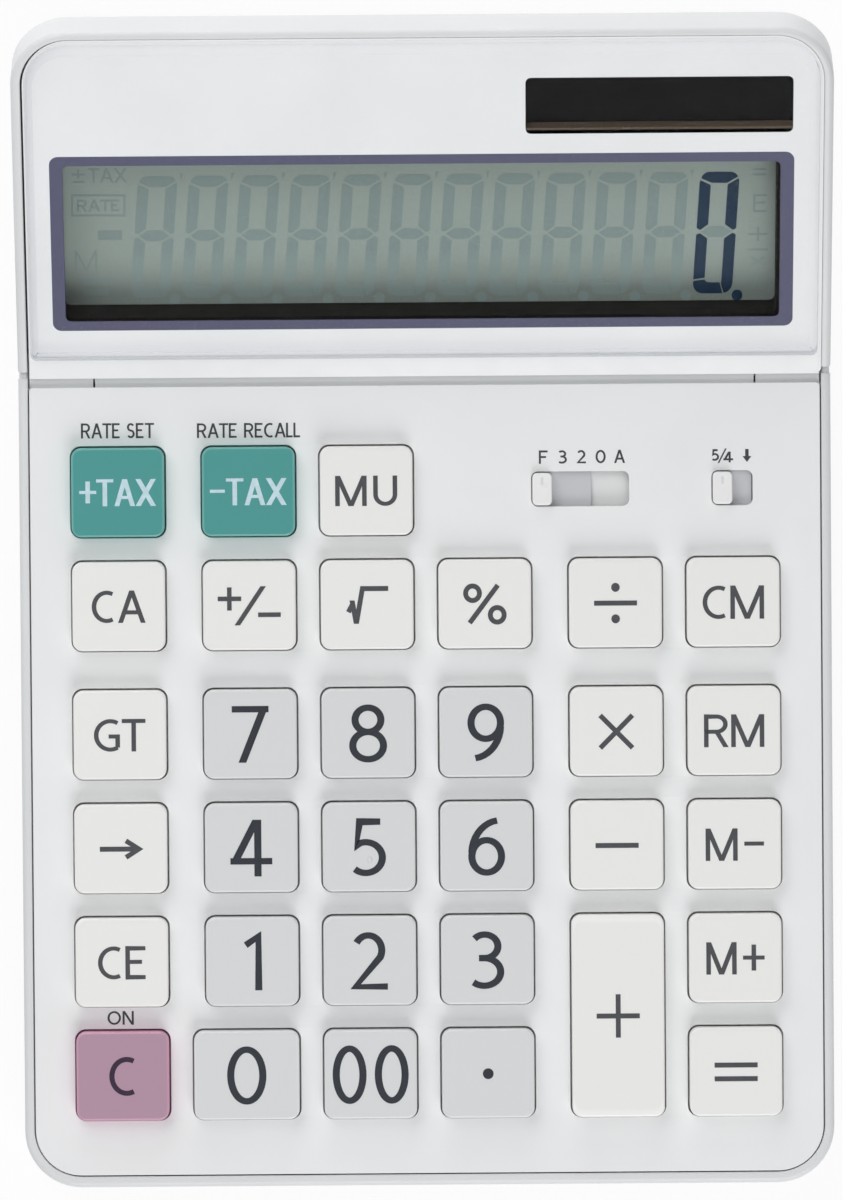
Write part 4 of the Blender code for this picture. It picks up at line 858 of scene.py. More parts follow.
def add_block(bm: bmesh.types.BMesh, low: Sequence[float], high: Sequence[float]) -> list[bmesh.types.BMVert]:
    """Adds a block between two corners.

    Args:
        bm: The mesh that it is added to.
        low: The low corner.
        high: The high corner.

    Returns:
        The block's vertices.
    """
    low, high = Vector(low), Vector(high)
    matrix = Matrix.Translation((low + high) / 2) @ Matrix.Diagonal((*(high - low), 1))
    return bmesh.ops.create_cube(bm, size=1, matrix=matrix)["verts"]


def bevel(bm: bmesh.types.BMesh, edges: Iterable[bmesh.types.BMEdge], width: float, steps: int) -> None:
    """Rounds edges."""
    bmesh.ops.bevel(bm, geom=list(edges), offset=width, segments=steps, profile=0.5, affect="EDGES")


def uprights(verts: Iterable[bmesh.types.BMVert]) -> set[bmesh.types.BMEdge]:
    """The edges among vertices that run along Z."""
    edges = {edge for vert in verts for edge in vert.link_edges}
    return {edge for edge in edges if (edge.verts[0].co - edge.verts[1].co).to_2d().length < WELD}


def middle(low: Sequence[float], high: Sequence[float]) -> Point:
    """The middle between two corners, seen from above."""
    return (low[0] + high[0]) / 2, (low[1] + high[1]) / 2


def drawn_out(bm: bmesh.types.BMesh, face: bmesh.types.BMFace, offset: Sequence[float]) -> list[bmesh.types.BMVert]:
    """Extrudes a face.

    Args:
        bm: The mesh that holds it.
        face: The face.
        offset: How far the new face moves.

    Returns:
        The new face's vertices.
    """
    made = bmesh.ops.extrude_face_region(bm, geom=[face])["geom"]
    verts = [item for item in made if isinstance(item, bmesh.types.BMVert)]
    bmesh.ops.translate(bm, verts=verts, vec=offset)
    return verts


def turned_piece(name: str, bench: Bench, profile: Sequence[Point], foot: Sequence[float],
                 steps: int) -> bpy.types.Object:
    """A piece turned about an upright axis.

    Args:
        name: The piece's name.
        bench: The bench that it stands on.
        profile: Radii and heights along its outline, from the axis back to it.
        foot: Where the profile's origin goes.
        steps: How many sides it has.

    Returns:
        The piece.
    """
    bm = bmesh.new()
    verts = [bm.verts.new((radius, 0, height)) for radius, height in profile]
    edges = [bm.edges.new(pair) for pair in zip(verts, verts[1:])]
    bmesh.ops.spin(bm, geom=verts + edges, cent=(0, 0, 0), axis=(0, 0, 1), angle=math.tau, steps=steps)
    bmesh.ops.remove_doubles(bm, verts=bm.verts, dist=WELD)
    bmesh.ops.translate(bm, verts=bm.verts, vec=foot)
    return solid(name, bench, bm)


def extruded(bm: bmesh.types.BMesh, points: Sequence[Point], low: float, high: float) -> None:
    """Adds an upright prism, from one height to another, on an outline that has no hole."""
    face = bm.faces.new([bm.verts.new((*point, low)) for point in points])
    drawn_out(bm, face, (0, 0, high - low))


def refined(node: str, name: str, bench: Bench, edge: float, chosen: Callable[[Vector], bool],
            steps: int = 3) -> bpy.types.Object:
    """A finer copy of a CAD node, with its sharp edges eased.

    Args:
        node: The node that it is copied from and stands for.
        name: The piece's name.
        bench: The bench that it stands on.
        edge: The radius of the eased edges.
        chosen: Which of the bench's places are the middles of eased edges.
        steps: How many parts the easing has.

    Returns:
        The piece.
    """
    bm = bmesh.new()
    bm.from_mesh(frame["nodes"][node].data)
    bmesh.ops.transform(bm, matrix=bench.matrix.inverted(), verts=bm.verts)
    bmesh.ops.remove_doubles(bm, verts=bm.verts, dist=WELD)
    bmesh.ops.dissolve_limit(bm, angle_limit=FLAT_ANGLE, verts=bm.verts, edges=bm.edges)
    bm.normal_update()
    sharp = [
        line for line in bm.edges
        if len(line.link_faces) == 2 and line.calc_face_angle(0) > EASED_ANGLE
        and chosen((line.verts[0].co + line.verts[1].co) / 2)
    ]
    bevel(bm, sharp, edge, steps)
    bmesh.ops.transform(bm, matrix=bench.matrix, verts=bm.verts)
    piece = solid(name, DESK, bm)
    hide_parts(node)
    return piece


def dress(piece: bpy.types.Object, finishes: Sequence[Finish], body: Body | str) -> bpy.types.Object:
    """Gives a piece its finishes and its body, and reports it.

    Args:
        piece: The piece.
        finishes: The finishes, in the order of its material slots.
        body: The body that it rides on.

    Returns:
        The piece.
    """
    piece.data.materials.clear()
    for recipe in finishes:
        piece.data.materials.append(finish_of(recipe))
    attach(piece, body.value if isinstance(body, Body) else body)
    LOG.info("%s rides on %s", piece.name, body)
    return piece


def dress_node(node: str, recipe: Finish) -> None:
    """Gives a CAD node that stays its finish.

    Args:
        node: The node's name.
        recipe: Its finish.
    """
    carried = frame["nodes"][node]
    if not carried.material_slots:
        carried.data.materials.append(None)
    for slot in carried.material_slots:
        slot.material = finish_of(recipe)
    LOG.info("%s keeps its solid", node)


# Lettering


@dataclass(frozen=True)
class Pen:
    """A flat pen: how wide it draws uprights and how thick it draws levels."""

    upright: float
    level: float

    def reach(self, direction: Vector) -> Vector:
        """The offset from a line's middle to its edge.

        Args:
            direction: Where the line runs, of length one.

        Returns:
            The offset to its left.
        """
        normal = Vector((-direction.y, direction.x))
        half = math.hypot(self.upright / 2 * normal.x, self.level / 2 * normal.y)
        return normal * half


MITRE_LIMIT = 1.7  # how far a corner may run out, in half pens
STEEP = 3  # a run so many times longer one way is upright or level
SLANT_PASSES = 3
INK_RISE = 0.03 * MM
INK_ROOT = 0.02 * MM
STROKE_STEP = 0.003 * MM  # what each next stroke of a sign stands higher, so that none fights another


def ribbon(bm: bmesh.types.BMesh, points: Sequence[Point], pen: Pen, low: float, high: float,
           closed: bool = False) -> None:
    """Draws a stroke as a thin solid ribbon.

    Args:
        bm: The mesh that it is added to.
        points: The stroke's middle line.
        pen: The pen.
        low: The height of the ribbon's underside.
        high: The height of its upper side.
        closed: Whether the stroke ends where it starts.
    """
    line = [Vector(point) for point in points]
    if closed:
        line = line[:-1]
    count = len(line)
    lefts, rights = [], []
    for place, here in enumerate(line):
        before = line[(place - 1) % count] if closed or place > 0 else None
        after = line[(place + 1) % count] if closed or place < count - 1 else None
        inward = (here - before).normalized() if before else (after - here).normalized()
        outward = (after - here).normalized() if after else inward
        along = (inward + outward).normalized() if (inward + outward).length > 1e-6 else inward
        reach = pen.reach(inward) if pen.reach(inward).length > pen.reach(outward).length else pen.reach(outward)
        normal = Vector((-along.y, along.x))
        stretch = min(1 / max(abs(along.dot(inward)), 1e-3), MITRE_LIMIT)
        lefts.append(here + normal * reach.length * stretch)
        rights.append(here - normal * reach.length * stretch)
    rims = [[bm.verts.new((*spot, height)) for spot in side] for height in (low, high) for side in (lefts, rights)]
    low_left, low_right, high_left, high_right = rims
    spans = range(count if closed else count - 1)
    for first in spans:
        second = (first + 1) % count
        bm.faces.new((high_left[first], high_right[first], high_right[second], high_left[second]))
        bm.faces.new((low_left[second], low_right[second], low_right[first], low_left[first]))
        bm.faces.new((low_left[first], high_left[first], high_left[second], low_left[second]))
        bm.faces.new((low_right[second], high_right[second], high_right[first], low_right[first]))
    if not closed:
        bm.faces.new((low_left[0], low_right[0], high_right[0], high_left[0]))
        bm.faces.new((low_right[-1], low_left[-1], high_left[-1], high_right[-1]))


class StrokeKind(Enum):
    """How a glyph's points are drawn."""

    OPEN = "open"
    CLOSED = "closed"
    FILLED = "filled"
    SLANTED = "slanted"


@dataclass(frozen=True)
class Stroke:
    """One stroke of a glyph, in shares of the glyph's width and height."""

    points: tuple[Point, ...]
    kind: StrokeKind = StrokeKind.OPEN


@dataclass(frozen=True)
class Glyph:
    """A sign: its strokes, its width as a share of its height, and the gap after it."""

    width_share: float
    strokes: tuple[Stroke, ...]
    gap_share: float = 0.16


def strokes(*lines: Sequence[Point]) -> tuple[Stroke, ...]:
    """Open strokes along lists of points."""
    return tuple(Stroke(tuple(line)) for line in lines)


def ring(centre: Point, radii: Point) -> Stroke:
    """A closed oval stroke."""
    return Stroke(tuple(arc(centre, radii, 0, 360)), StrokeKind.CLOSED)


def slants(*lines: Sequence[Point]) -> tuple[Stroke, ...]:
    """Straight strokes whose ends are cut level."""
    return tuple(Stroke(tuple(line), StrokeKind.SLANTED) for line in lines)


def blot(points: Sequence[Point]) -> Stroke:
    """A filled shape."""
    return Stroke(tuple(points), StrokeKind.FILLED)


def turned(lines: tuple[Stroke, ...]) -> tuple[Stroke, ...]:
    """Strokes turned half round."""
    return tuple(Stroke(tuple((1 - x, 1 - y) for x, y in line.points), line.kind) for line in lines)


SW, SE, NW, NE = (0.0, 0.0), (1.0, 0.0), (0.0, 1.0), (1.0, 1.0)
SOUTH, NORTH, WEST, EAST = (0.5, 0.0), (0.5, 1.0), (0.0, 0.5), (1.0, 0.5)
SIX = strokes(arc((0.98, 0.36), (0.98, 0.64), 97, 178)) + (ring((0.5, 0.31), (0.5, 0.31)),)
GLYPHS: dict[str, Glyph] = {
    "0": Glyph(0.66, (ring((0.5, 0.5), (0.5, 0.5)),)),
    "1": Glyph(0.34, strokes([(0.0, 0.83), NE, SE])),
    "2": Glyph(0.62, strokes([*arc((0.45, 0.71), (0.47, 0.29), 150, -28), SW, SE])),
    "3": Glyph(0.58, strokes(
        [*arc((0.40, 0.77), (0.50, 0.23), 140, -85), (0.18, 0.54)],
        [(0.18, 0.54), *arc((0.38, 0.27), (0.62, 0.27), 85, -132)],
    )),
    "4": Glyph(0.74, (
        *strokes([(0.69, 0.0), (0.69, 1.0)], [(0.0, 0.24), (1.0, 0.24)]), *slants([(0.0, 0.24), (0.66, 1.0)]),
    )),
    "5": Glyph(0.58, strokes([(0.93, 1.0), (0.15, 1.0), (0.05, 0.53), *arc((0.38, 0.30), (0.62, 0.30), 112, -132)])),
    "6": Glyph(0.64, SIX),
    "7": Glyph(0.64, strokes([NW, NE]) + slants([NE, (0.22, 0.0)])),
    "8": Glyph(0.66, (ring((0.5, 0.765), (0.42, 0.235)), ring((0.5, 0.265), (0.5, 0.265)))),
    "9": Glyph(0.64, turned(SIX)),
    "A": Glyph(0.87, slants([SW, NORTH], [NORTH, SE]) + strokes([(0.22, 0.30), (0.78, 0.30)]), 0.02),
    "C": Glyph(0.73, strokes(arc((0.69, 0.5), (0.69, 0.5), 63, 297)), 0.10),
    "E": Glyph(0.61, strokes([NE, NW, SW, SE], [(0.0, 0.53), (0.92, 0.53)]), 0.12),
    "F": Glyph(0.56, strokes([NE, NW, SW], [(0.0, 0.51), (0.92, 0.51)])),
    "G": Glyph(0.80, strokes(
        arc((0.66, 0.5), (0.66, 0.5), 59, 301), [(1.0, 0.07), (1.0, 0.46)], [(0.58, 0.46), (1.0, 0.46)],
    ), 0.06),
    "L": Glyph(0.52, strokes([NW, SW, SE]), 0.06),
    "M": Glyph(1.01, strokes([SW, NW], [SE, NE]) + slants([NW, SOUTH], [SOUTH, NE]), 0.21),
    "N": Glyph(0.80, strokes([SW, NW], [SE, NE]) + slants([NW, SE])),
    "O": Glyph(0.96, (ring((0.5, 0.5), (0.5, 0.5)),), 0.12),
    "R": Glyph(0.75, (
        *strokes([SW, NW, *arc((0.52, 0.735), (0.44, 0.265), 90, -90), (0.0, 0.47)]),
        *slants([(0.52, 0.48), SE]),
    ), 0.08),
    "S": Glyph(0.62, strokes([
        *arc((0.50, 0.755), (0.48, 0.245), 30, 240), *arc((0.50, 0.255), (0.50, 0.255), 60, -150),
    ]), 0.10),
    "T": Glyph(0.73, strokes([NW, NE], [NORTH, SOUTH]), 0.04),
    "U": Glyph(0.77, strokes([NW, *arc((0.5, 0.36), (0.5, 0.36), 180, 360), NE])),
    "X": Glyph(0.87, slants([SW, NE], [NW, SE])),
    " ": Glyph(0.30, ()),
    "/": Glyph(0.46, slants([(0.0, -0.04), (1.0, 1.04)]), -0.02),
    "+": Glyph(0.72, strokes([WEST, EAST], [SOUTH, NORTH])),
    "plus": Glyph(0.72, strokes([(0.0, 0.52), (1.0, 0.52)], [(0.5, 0.06), (0.5, 0.98)]), 0.0),
    "minus": Glyph(0.62, strokes([(0.0, 0.53), (1.0, 0.53)]), 0.05),
    "plus_minus": Glyph(0.86, strokes([(0.0, 0.62), (1.0, 0.62)], [(0.5, 0.28), NORTH], [SW, SE])),
    "times": Glyph(1.0, strokes([SW, NE], [NW, SE])),
    "divide": Glyph(1.2, (
        *strokes([WEST, EAST]),
        blot(disc((0.5, 0.94), (0.10, 0.125))),
        blot(disc((0.5, 0.06), (0.10, 0.125))),
    )),
    "subtract": Glyph(4.0, strokes([WEST, EAST])),
    "equals": Glyph(2.3, strokes([NW, NE], [SW, SE])),
    "point": Glyph(1.0, (blot(disc((0.5, 0.5), (0.5, 0.5))),)),
    "percent": Glyph(1.05, (
        ring((0.18, 0.80), (0.18, 0.20)), ring((0.82, 0.20), (0.18, 0.20)), *strokes([(0.10, -0.02), (0.84, 1.02)]),
    )),
    "root": Glyph(1.13, (
        *strokes([(0.0, 0.28), (0.13, 0.56)], [(0.38, 1.0), NE]),
        *slants([(0.10, 0.62), (0.21, 0.0)], [(0.21, 0.0), (0.39, 1.0)]),
    )),
    "sign": Glyph(1.6, (
        *strokes([(0.0, 0.706), (0.363, 0.706)], [(0.16, 0.367), (0.16, 1.04)], [(0.65, 0.237), (1.0, 0.237)]),
        *slants([(0.29, 0.0), (0.745, 1.0)]),
    )),
    "right": Glyph(1.94, strokes([WEST, (0.97, 0.5)], [(0.64, 1.0), EAST, (0.64, 0.0)])),
    "down": Glyph(0.6, (
        blot([(0.3, 1.0), (0.3, 0.45), (0.0, 0.45), SOUTH, (1.0, 0.45), (0.7, 0.45), (0.7, 1.0)]),
    )),
}


def write(bm: bmesh.types.BMesh, signs: Sequence[str], centre: Point, size: Point, pen: Pen,
          low: float, high: float) -> None:
    """Writes signs into a box, so that their ink just fills it.

    Args:
        bm: The mesh that they are added to.
        signs: The signs' names.
        centre: The box's centre.
        size: The box's width and height.
        pen: The pen.
        low: The height of the ink's underside.
        high: The height of its upper side.
    """
    widths = [GLYPHS[sign].width_share for sign in signs]
    gaps = [GLYPHS[sign].gap_share for sign in signs[:-1]] + [0.0]
    whole = sum(widths) + sum(gaps)
    left, base = centre[0] - size[0] / 2, centre[1] - size[1] / 2
    bottom = base + pen.level / 2
    inner_height = max(size[1] - pen.level, 0.0)
    for sign, width, gap in zip(signs, widths, gaps):
        cell = size[0] * width / whole
        inner_width = max(cell - pen.upright, 0.0)
        for count, line in enumerate(GLYPHS[sign].strokes):
            top = high + count * STROKE_STEP
            if line.kind is StrokeKind.FILLED:
                extruded(bm, [(left + x * cell, base + y * size[1]) for x, y in line.points], low, top)
            elif line.kind is StrokeKind.SLANTED:
                extruded(bm, slanted((left, base), (cell, size[1]), line.points, pen.upright), low, top)
            else:
                placed = [(left + pen.upright / 2 + x * inner_width, bottom + y * inner_height) for x, y in line.points]
                closed = line.kind is StrokeKind.CLOSED
                ribbon(bm, placed if closed else capped(placed, line.points, pen), pen, low, top, closed)
        left += cell + size[0] * gap / whole


def capped(placed: Sequence[Point], shares: Sequence[Point], pen: Pen) -> list[Point]:
    """Runs an open stroke's level and upright ends on to the edge of the sign's cell.

    Args:
        placed: The stroke's points, half a pen inside the cell.
        shares: The same points in shares of the cell.
        pen: The pen.

    Returns:
        The points, with such ends moved half a pen outwards.
    """
    line = list(placed)
    for end, inner in ((0, 1), (-1, -2)):
        run = (placed[end][0] - placed[inner][0], placed[end][1] - placed[inner][1])
        if shares[end][1] in (0.0, 1.0) and abs(run[1]) > STEEP * abs(run[0]):
            line[end] = (line[end][0], line[end][1] + math.copysign(pen.level / 2, run[1]))
        elif shares[end][0] in (0.0, 1.0) and abs(run[0]) > STEEP * abs(run[1]):
            line[end] = (line[end][0] + math.copysign(pen.upright / 2, run[0]), line[end][1])
    return line


def slanted(corner: Point, cell: Point, ends: Sequence[Point], thickness: float) -> list[Point]:
    """The outline of a straight stroke whose ends are cut level.

    Args:
        corner: The low left corner of the sign's cell.
        cell: The cell's width and height.
        ends: The stroke's two ends, in shares of the cell.
        thickness: How thick the stroke is across its run.

    Returns:
        The outline.
    """
    (first_x, first_y), (last_x, last_y) = ends
    rise = (last_y - first_y) * cell[1]
    half = thickness / 2
    for _ in range(SLANT_PASSES):
        run = (last_x - first_x) * (cell[0] - 2 * half)
        half = thickness / 2 * math.hypot(run, rise) / abs(rise)
    near, far = (corner[0] + half + x * (cell[0] - 2 * half) for x in (first_x, last_x))
    low, high = (corner[1] + y * cell[1] for y in (first_y, last_y))
    return [(near - half, low), (near + half, low), (far + half, high), (far - half, high)]


# Casing and covers


@dataclass
class Casing:
    """The white casing, its battery cover, screws and feet, and what it holds inside."""

    edge: float = 0.25 * MM
    screw_dome: tuple[Point, ...] = ((0.0, 0.0), (0.72, 0.0), (0.92, 0.12 * MM), (1.0, 0.35 * MM))
    screw_head: float = 1.0 * MM
    screw_shank: float = 0.7 * MM
    screw_tip: Point = (0.4 * MM, 0.3 * MM)
    screw_recess: float = 0.55 * MM
    screw_slot: float = 0.42 * MM
    slot_reach: float = 0.62
    foot_dish: tuple[Point, ...] = ((0.0, 0.25 * MM), (0.55, 0.22 * MM), (0.72, 0.0))
    foot_edge: float = 0.5 * MM
    screw_sides: int = 32
    foot_sides: int = 40
    grip_count: int = 5
    grip_pitch: float = 1.5 * MM
    grip_length: float = 9.0 * MM
    grip_width: float = 0.6 * MM
    grip_corner: float = 0.6 * MM / 2.2
    grip_rise: float = 0.25 * MM
    grip_inset: float = 2.4 * MM
    rim_depth: float = 0.1 * MM
    door_corner: float = 1.5 * MM
    door_edge: float = 0.2 * MM

    def build(self) -> None:
        """Builds and dresses the casing's pieces."""
        cover = KEYBOARD.box("top_cover")[1]
        top, rear = cover.z - self.rim_depth, cover.y - MM
        case = refined(
            "bottom_casing", "casing", KEYBOARD, self.edge, lambda place: place.z > top and place.y < rear
        )
        dress(case, [CASE_PLASTIC], Body.CASING)
        self.battery_cover()
        self.screws()
        self.feet()
        for node, recipe in (
            ("rubber_dome_sheet", SHEET_RUBBER), ("main_circuit_board", BOARD_RESIST), ("hinge_pin_left", STEEL),
            ("hinge_pin_right", STEEL), ("hinge_friction_washer", WASHER_PLASTIC), ("button_cell", CELL_STEEL),
            ("battery_contact", SPRING_STEEL),
        ):
            dress_node(node, recipe)

    def battery_cover(self) -> None:
        """Builds the battery cover, with grip ridges standing a little off its underside."""
        low, high = DESK.box("battery_cover")
        outline = round_rectangle(low, high, [self.door_corner] * 4)
        cover = plate("battery_door", DESK, [outline], low.z, high.z, self.door_edge)
        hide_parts("battery_cover")
        dress(cover, [CASE_PLASTIC], Body.CASING)
        bm = bmesh.new()
        centre = (low + high) / 2
        for count in range(self.grip_count):
            y = high.y - self.grip_inset - count * self.grip_pitch
            corners = around((centre.x, y), self.grip_length, self.grip_width)
            ridge = round_rectangle(*corners, [self.grip_corner] * 4, 4)
            extruded(bm, ridge, low.z - self.grip_rise, low.z + INK_ROOT)
        dress(solid("battery_door_grip", DESK, bm), [CASE_PLASTIC], Body.CASING)

    def screws(self) -> None:
        """Builds the four case screws with cross recesses in their heads."""
        for place in CORNERS:
            node = "case_screw_" + place
            low, high = KEYBOARD.box(node)
            x, y = middle(low, high)
            radius = (high.x - low.x) / 2
            length = high.z - low.z
            profile = [(radius * share, height) for share, height in self.screw_dome]
            profile += [(radius, self.screw_head), (self.screw_shank, self.screw_head),
                        (self.screw_shank, length - self.screw_tip[1]), (self.screw_tip[0], length), (0.0, length)]
            screw = turned_piece("screw_" + place, KEYBOARD, profile, (x, y, low.z), self.screw_sides)
            cut = bmesh.new()
            reach, half = radius * self.slot_reach, self.screw_slot / 2
            add_block(cut, (x - reach, y - half, low.z - MM), (x + reach, y + half, low.z + self.screw_recess))
            first = bpy.data.meshes.new("recess")
            cut.to_mesh(first)
            cut.free()
            cutter = link("recess", first, KEYBOARD)
            there, back = Matrix.Translation((x, y, 0)), Matrix.Translation((-x, -y, 0))
            for turn in (Matrix.Identity(4), there @ Matrix.Rotation(math.pi / 2, 4, "Z") @ back):
                cutter.matrix_world = KEYBOARD.matrix @ turn
                self.cut_once(screw, cutter)
            bpy.data.objects.remove(cutter)
            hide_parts(node)
            dress(screw, [STEEL], Body.CASING)

    @staticmethod
    def cut_once(piece: bpy.types.Object, cutter: bpy.types.Object) -> None:
        """Cuts one object out of another, for good.

        Args:
            piece: What is cut.
            cutter: What cuts it.
        """
        modifier = piece.modifiers.new("cut", "BOOLEAN")
        modifier.operation = "DIFFERENCE"
        modifier.object = cutter
        piece.modifiers.move(len(piece.modifiers) - 1, 0)
        broad = piece.modifiers["broad_faces"]
        broad.show_viewport = False
        bpy.context.view_layer.update()
        mesh = bpy.data.meshes.new_from_object(piece.evaluated_get(bpy.context.evaluated_depsgraph_get()))
        piece.modifiers.remove(modifier)
        broad.show_viewport = True
        piece.data = mesh
        mesh.shade_smooth()
        mesh.set_sharp_from_angle(angle=CUT_ANGLE)

    def feet(self) -> None:
        """Builds the four rubber feet, round-edged with a shallow dish underneath."""
        for place in CORNERS:
            node = "foot_" + place
            low, high = DESK.box(node)
            centre = (low + high) / 2
            radius, edge = (high.x - low.x) / 2, self.foot_edge
            profile = [(radius * share, height) for share, height in self.foot_dish]
            profile += [(radius - edge + x, edge + y) for x, y in arc((0, 0), (edge, edge), -90, 0, 5)]
            profile += [(radius, high.z), (0.0, high.z)]
            foot = turned_piece("rubber_foot_" + place, DESK, profile, (centre.x, centre.y, 0), self.foot_sides)
            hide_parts(node)
            dress(foot, [FOOT_RUBBER], Body.CASING)


@dataclass(frozen=True)
class KeyPlan:
    """One key: its node's name, its finish and slot, its legend, and the legend's size and pen."""

    name: str
    finish: KeyPlastic
    slot: str
    signs: tuple[str, ...]
    size: Point
    pen: Pen
    ink: Ink


DIGIT_PEN = Pen(1.13 * MM, 1.0 * MM)
SIGN_PEN = Pen(0.78 * MM, 0.78 * MM)
WORD_PEN = Pen(0.72 * MM, 0.63 * MM)
TAX_PEN = Pen(0.72 * MM, 0.50 * MM)
THIN_PEN = Pen(0.72 * MM, 0.72 * MM)
CLEAR_PEN = Pen(0.82 * MM, 0.78 * MM)


def digit(name: str, signs: tuple[str, ...], width: float, height: float = 9.1) -> KeyPlan:
    """A grey number key."""
    return KeyPlan(name, GREY_KEY, "key_pale_grey", signs, (width * MM, height * MM), DIGIT_PEN, DARK_INK)


def white(name: str, signs: tuple[str, ...], width: float, height: float, pen: Pen = WORD_PEN) -> KeyPlan:
    """A white function key."""
    return KeyPlan(name, WHITE_KEY, "key_white", signs, (width * MM, height * MM), pen, GREY_INK)


def tax(name: str, sign: str) -> KeyPlan:
    """A teal tax key."""
    return KeyPlan(name, TEAL_KEY, "key_teal", (sign, *"TAX"), (12.08 * MM, 4.25 * MM), TAX_PEN, PALE_INK)


KEY_PLANS: tuple[KeyPlan, ...] = (
    tax("tax_plus", "plus"),
    tax("tax_minus", "minus"),
    white("mark_up", ("M", "U"), 9.77, 4.76),
    white("clear_all", ("C", "A"), 8.47, 5.09),
    white("sign", ("sign",), 9.92, 6.14, THIN_PEN),
    white("square_root", ("root",), 6.69, 5.92, SIGN_PEN),
    white("percent", ("percent",), 6.82, 6.49, SIGN_PEN),
    white("divide", ("divide",), 6.77, 5.64, SIGN_PEN),
    white("memory_clear", ("C", "M"), 9.67, 5.24),
    white("grand_total", ("G", "T"), 8.14, 5.12),
    digit("7", ("7",), 5.8, 8.93),
    digit("8", ("8",), 5.97, 9.15),
    digit("9", ("9",), 5.78, 9.15),
    white("multiply", ("times",), 5.87, 5.94, SIGN_PEN),
    white("memory_recall", ("R", "M"), 9.5, 5.15),
    white("backspace", ("right",), 6.6, 3.4, SIGN_PEN),
    digit("4", ("4",), 6.6, 8.95),
    digit("5", ("5",), 5.35),
    digit("6", ("6",), 5.81, 9.25),
    white("subtract", ("subtract",), 6.8, 0.86, SIGN_PEN),
    white("memory_subtract", ("M", "minus"), 9.2, 5.1),
    white("clear_entry", ("C", "E"), 7.5, 5.2),
    digit("1", ("1",), 3.15, 9.0),
    digit("2", ("2",), 5.65),
    digit("3", ("3",), 5.3),
    white("memory_add", ("M", "plus"), 9.2, 5.1),
    KeyPlan("clear", MAUVE_KEY, "key_mauve", ("C",), (4.25 * MM, 6.15 * MM), CLEAR_PEN, PLUM_INK),
    digit("0", ("0",), 6.2, 9.2),
    digit("00", ("0", "0"), 12.0, 9.25),
    digit("decimal_point", ("point",), 1.7, 1.7),
    white("add", ("+",), 6.8, 6.85, SIGN_PEN),
    white("equals", ("equals",), 6.8, 2.95, SIGN_PEN),
)


